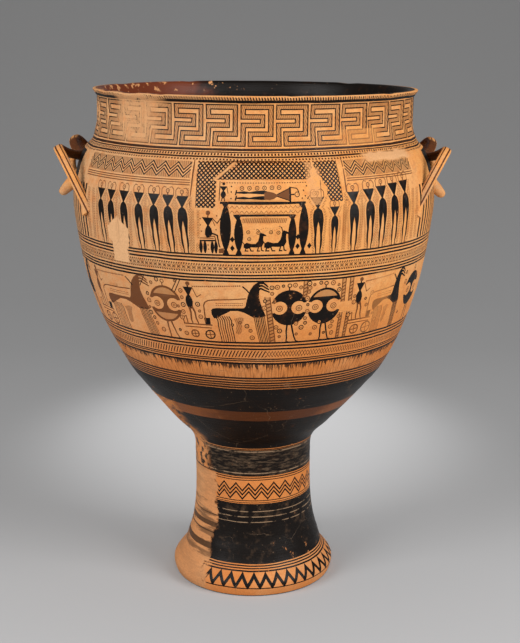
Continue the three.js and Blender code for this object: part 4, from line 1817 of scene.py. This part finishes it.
    @staticmethod
    def shader(
        bench: Bench, colour: Wire, gloss: Wire, relief: Wire, strength: float, rise: float,
    ) -> bpy.types.Material:
        """Joins colour, gloss and relief in the surface shader.

        Args:
            bench: the material being mixed.
            colour: the surface's colour.
            gloss: its roughness.
            relief: its fine relief, from 0 to about 1.
            strength: how strongly the relief shows.
            rise: what a relief of 1 measures, in metres.

        Returns:
            The material.
        """
        bump = bench.node("ShaderNodeBump", {}, {"Strength": strength, "Distance": rise, "Height": relief})
        inputs = {"Base Color": colour, "Roughness": gloss, "Normal": Wire(bench, bump.outputs[0])}
        return bench.finish({**inputs, "Specular IOR Level": 0.13})


# ---------------------------------------------------------------- studio

@dataclass
class Studio:
    """The pale floor, the soft light and the camera."""

    camera_place: tuple[float, float, float] = (0.0166, -2.6387, 1.2068)
    camera_pitch: float = 90 - 13.4885
    focal: float = 85.04

    def build(self) -> None:
        """Sets up everything round the vessel."""
        self.floor()
        self.lights()
        lens = bpy.data.cameras.new("camera")
        lens.sensor_fit, lens.sensor_width, lens.lens = "HORIZONTAL", 36.0, self.focal
        lens.clip_end = 60.0
        camera = bpy.data.objects.new("camera", lens)
        camera.location = self.camera_place
        camera.rotation_euler = (math.radians(self.camera_pitch), 0.0, 0.0)
        bpy.context.scene.collection.objects.link(camera)
        bpy.context.scene.camera = camera
        bpy.context.scene.view_settings.view_transform = "Standard"

    def floor(self) -> None:
        """A plain floor that curves up into a plain wall behind."""
        work = bmesh.new()
        radius, back, top, half = 6.5, 8.5, 9.0, 14.0
        run = [(-14.0, 0.0), (back - radius, 0.0)]
        run += [
            (back - radius + radius * math.sin(a), radius - radius * math.cos(a))
            for a in np.linspace(0.1, math.pi / 2, 16)
        ]
        run += [(back, top)]
        rows = [[work.verts.new((x, y, z)) for x in (-half, half)] for y, z in run]
        for a, b in zip(rows, rows[1:]):
            work.faces.new((a[0], a[1], b[1], b[0]))
        mesh = bpy.data.meshes.new("studio_floor")
        work.to_mesh(mesh)
        work.free()
        mesh.shade_smooth()
        floor = bpy.data.objects.new("studio_floor", mesh)
        bpy.context.scene.collection.objects.link(floor)
        paint = {"Base Color": (0.45, 0.45, 0.455, 1.0), "Roughness": 0.95, "Specular IOR Level": 0.1}
        mesh.materials.append(Bench("pale_floor").finish(paint))

    def lights(self) -> None:
        """Two large side softboxes, one in front, a soft pool on the floor behind and an even surround."""
        for name, place, size, power in (
            ("left_softbox", (-2.7, -2.2, 2.0), 2.0, 100.0),
            ("right_softbox", (2.8, -1.9, 2.0), 2.0, 108.0),
            ("front_softbox", (0.3, -4.2, 2.6), 2.2, 62.0),
        ):
            light = bpy.data.lights.new(name, "AREA")
            light.shape, light.size, light.energy = "SQUARE", size, power
            self.hang(light, place, (0, 0, 0.6))
        pool = bpy.data.lights.new("floor_pool", "SPOT")
        pool.energy, pool.shadow_soft_size = 240.0, 0.15
        pool.spot_size, pool.spot_blend = math.radians(31), 1.0
        self.hang(pool, (0.0, 2.45, 2.3), (0, 0.98, 0))
        world = bpy.data.worlds.new("surround")
        world.use_nodes = True
        surround = world.node_tree.nodes["Background"].inputs
        surround[0].default_value = (1.0, 0.99, 0.97, 1.0)
        surround[1].default_value = 0.26
        bpy.context.scene.world = world

    @staticmethod
    def hang(light: bpy.types.Light, place: tuple[float, ...], aim: tuple[float, ...]) -> None:
        """Hangs a light at a place, aimed at another."""
        lamp = bpy.data.objects.new(light.name, light)
        lamp.location = place
        lamp.rotation_euler = (Vector(aim) - Vector(place)).to_track_quat("-Z", "Y").to_euler()
        bpy.context.scene.collection.objects.link(lamp)


def dress(piece: bpy.types.Object, material: bpy.types.Material) -> None:
    """Gives a piece its finish and its place in the frame."""
    piece.data.materials.clear()
    piece.data.materials.append(material)
    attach(piece, "root")
    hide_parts("krater")
    log.info("dressed %s", piece.name)


def main() -> None:
    """Builds the studio, the vessel and its handles."""
    logging.basicConfig(level=logging.INFO, format="%(name)s: %(message)s")
    Studio().build()
    form = Form()
    finish = KraterFinish(ClayLook())
    body = Body(form)
    body.paint()
    dress(body.build(), finish.wall())
    handle_clay = finish.handle()
    for left in (False, True):
        dress(Handle(form, left).build(), handle_clay)
    bpy.context.view_layer.update()


if __name__ == "__main__":
    main()
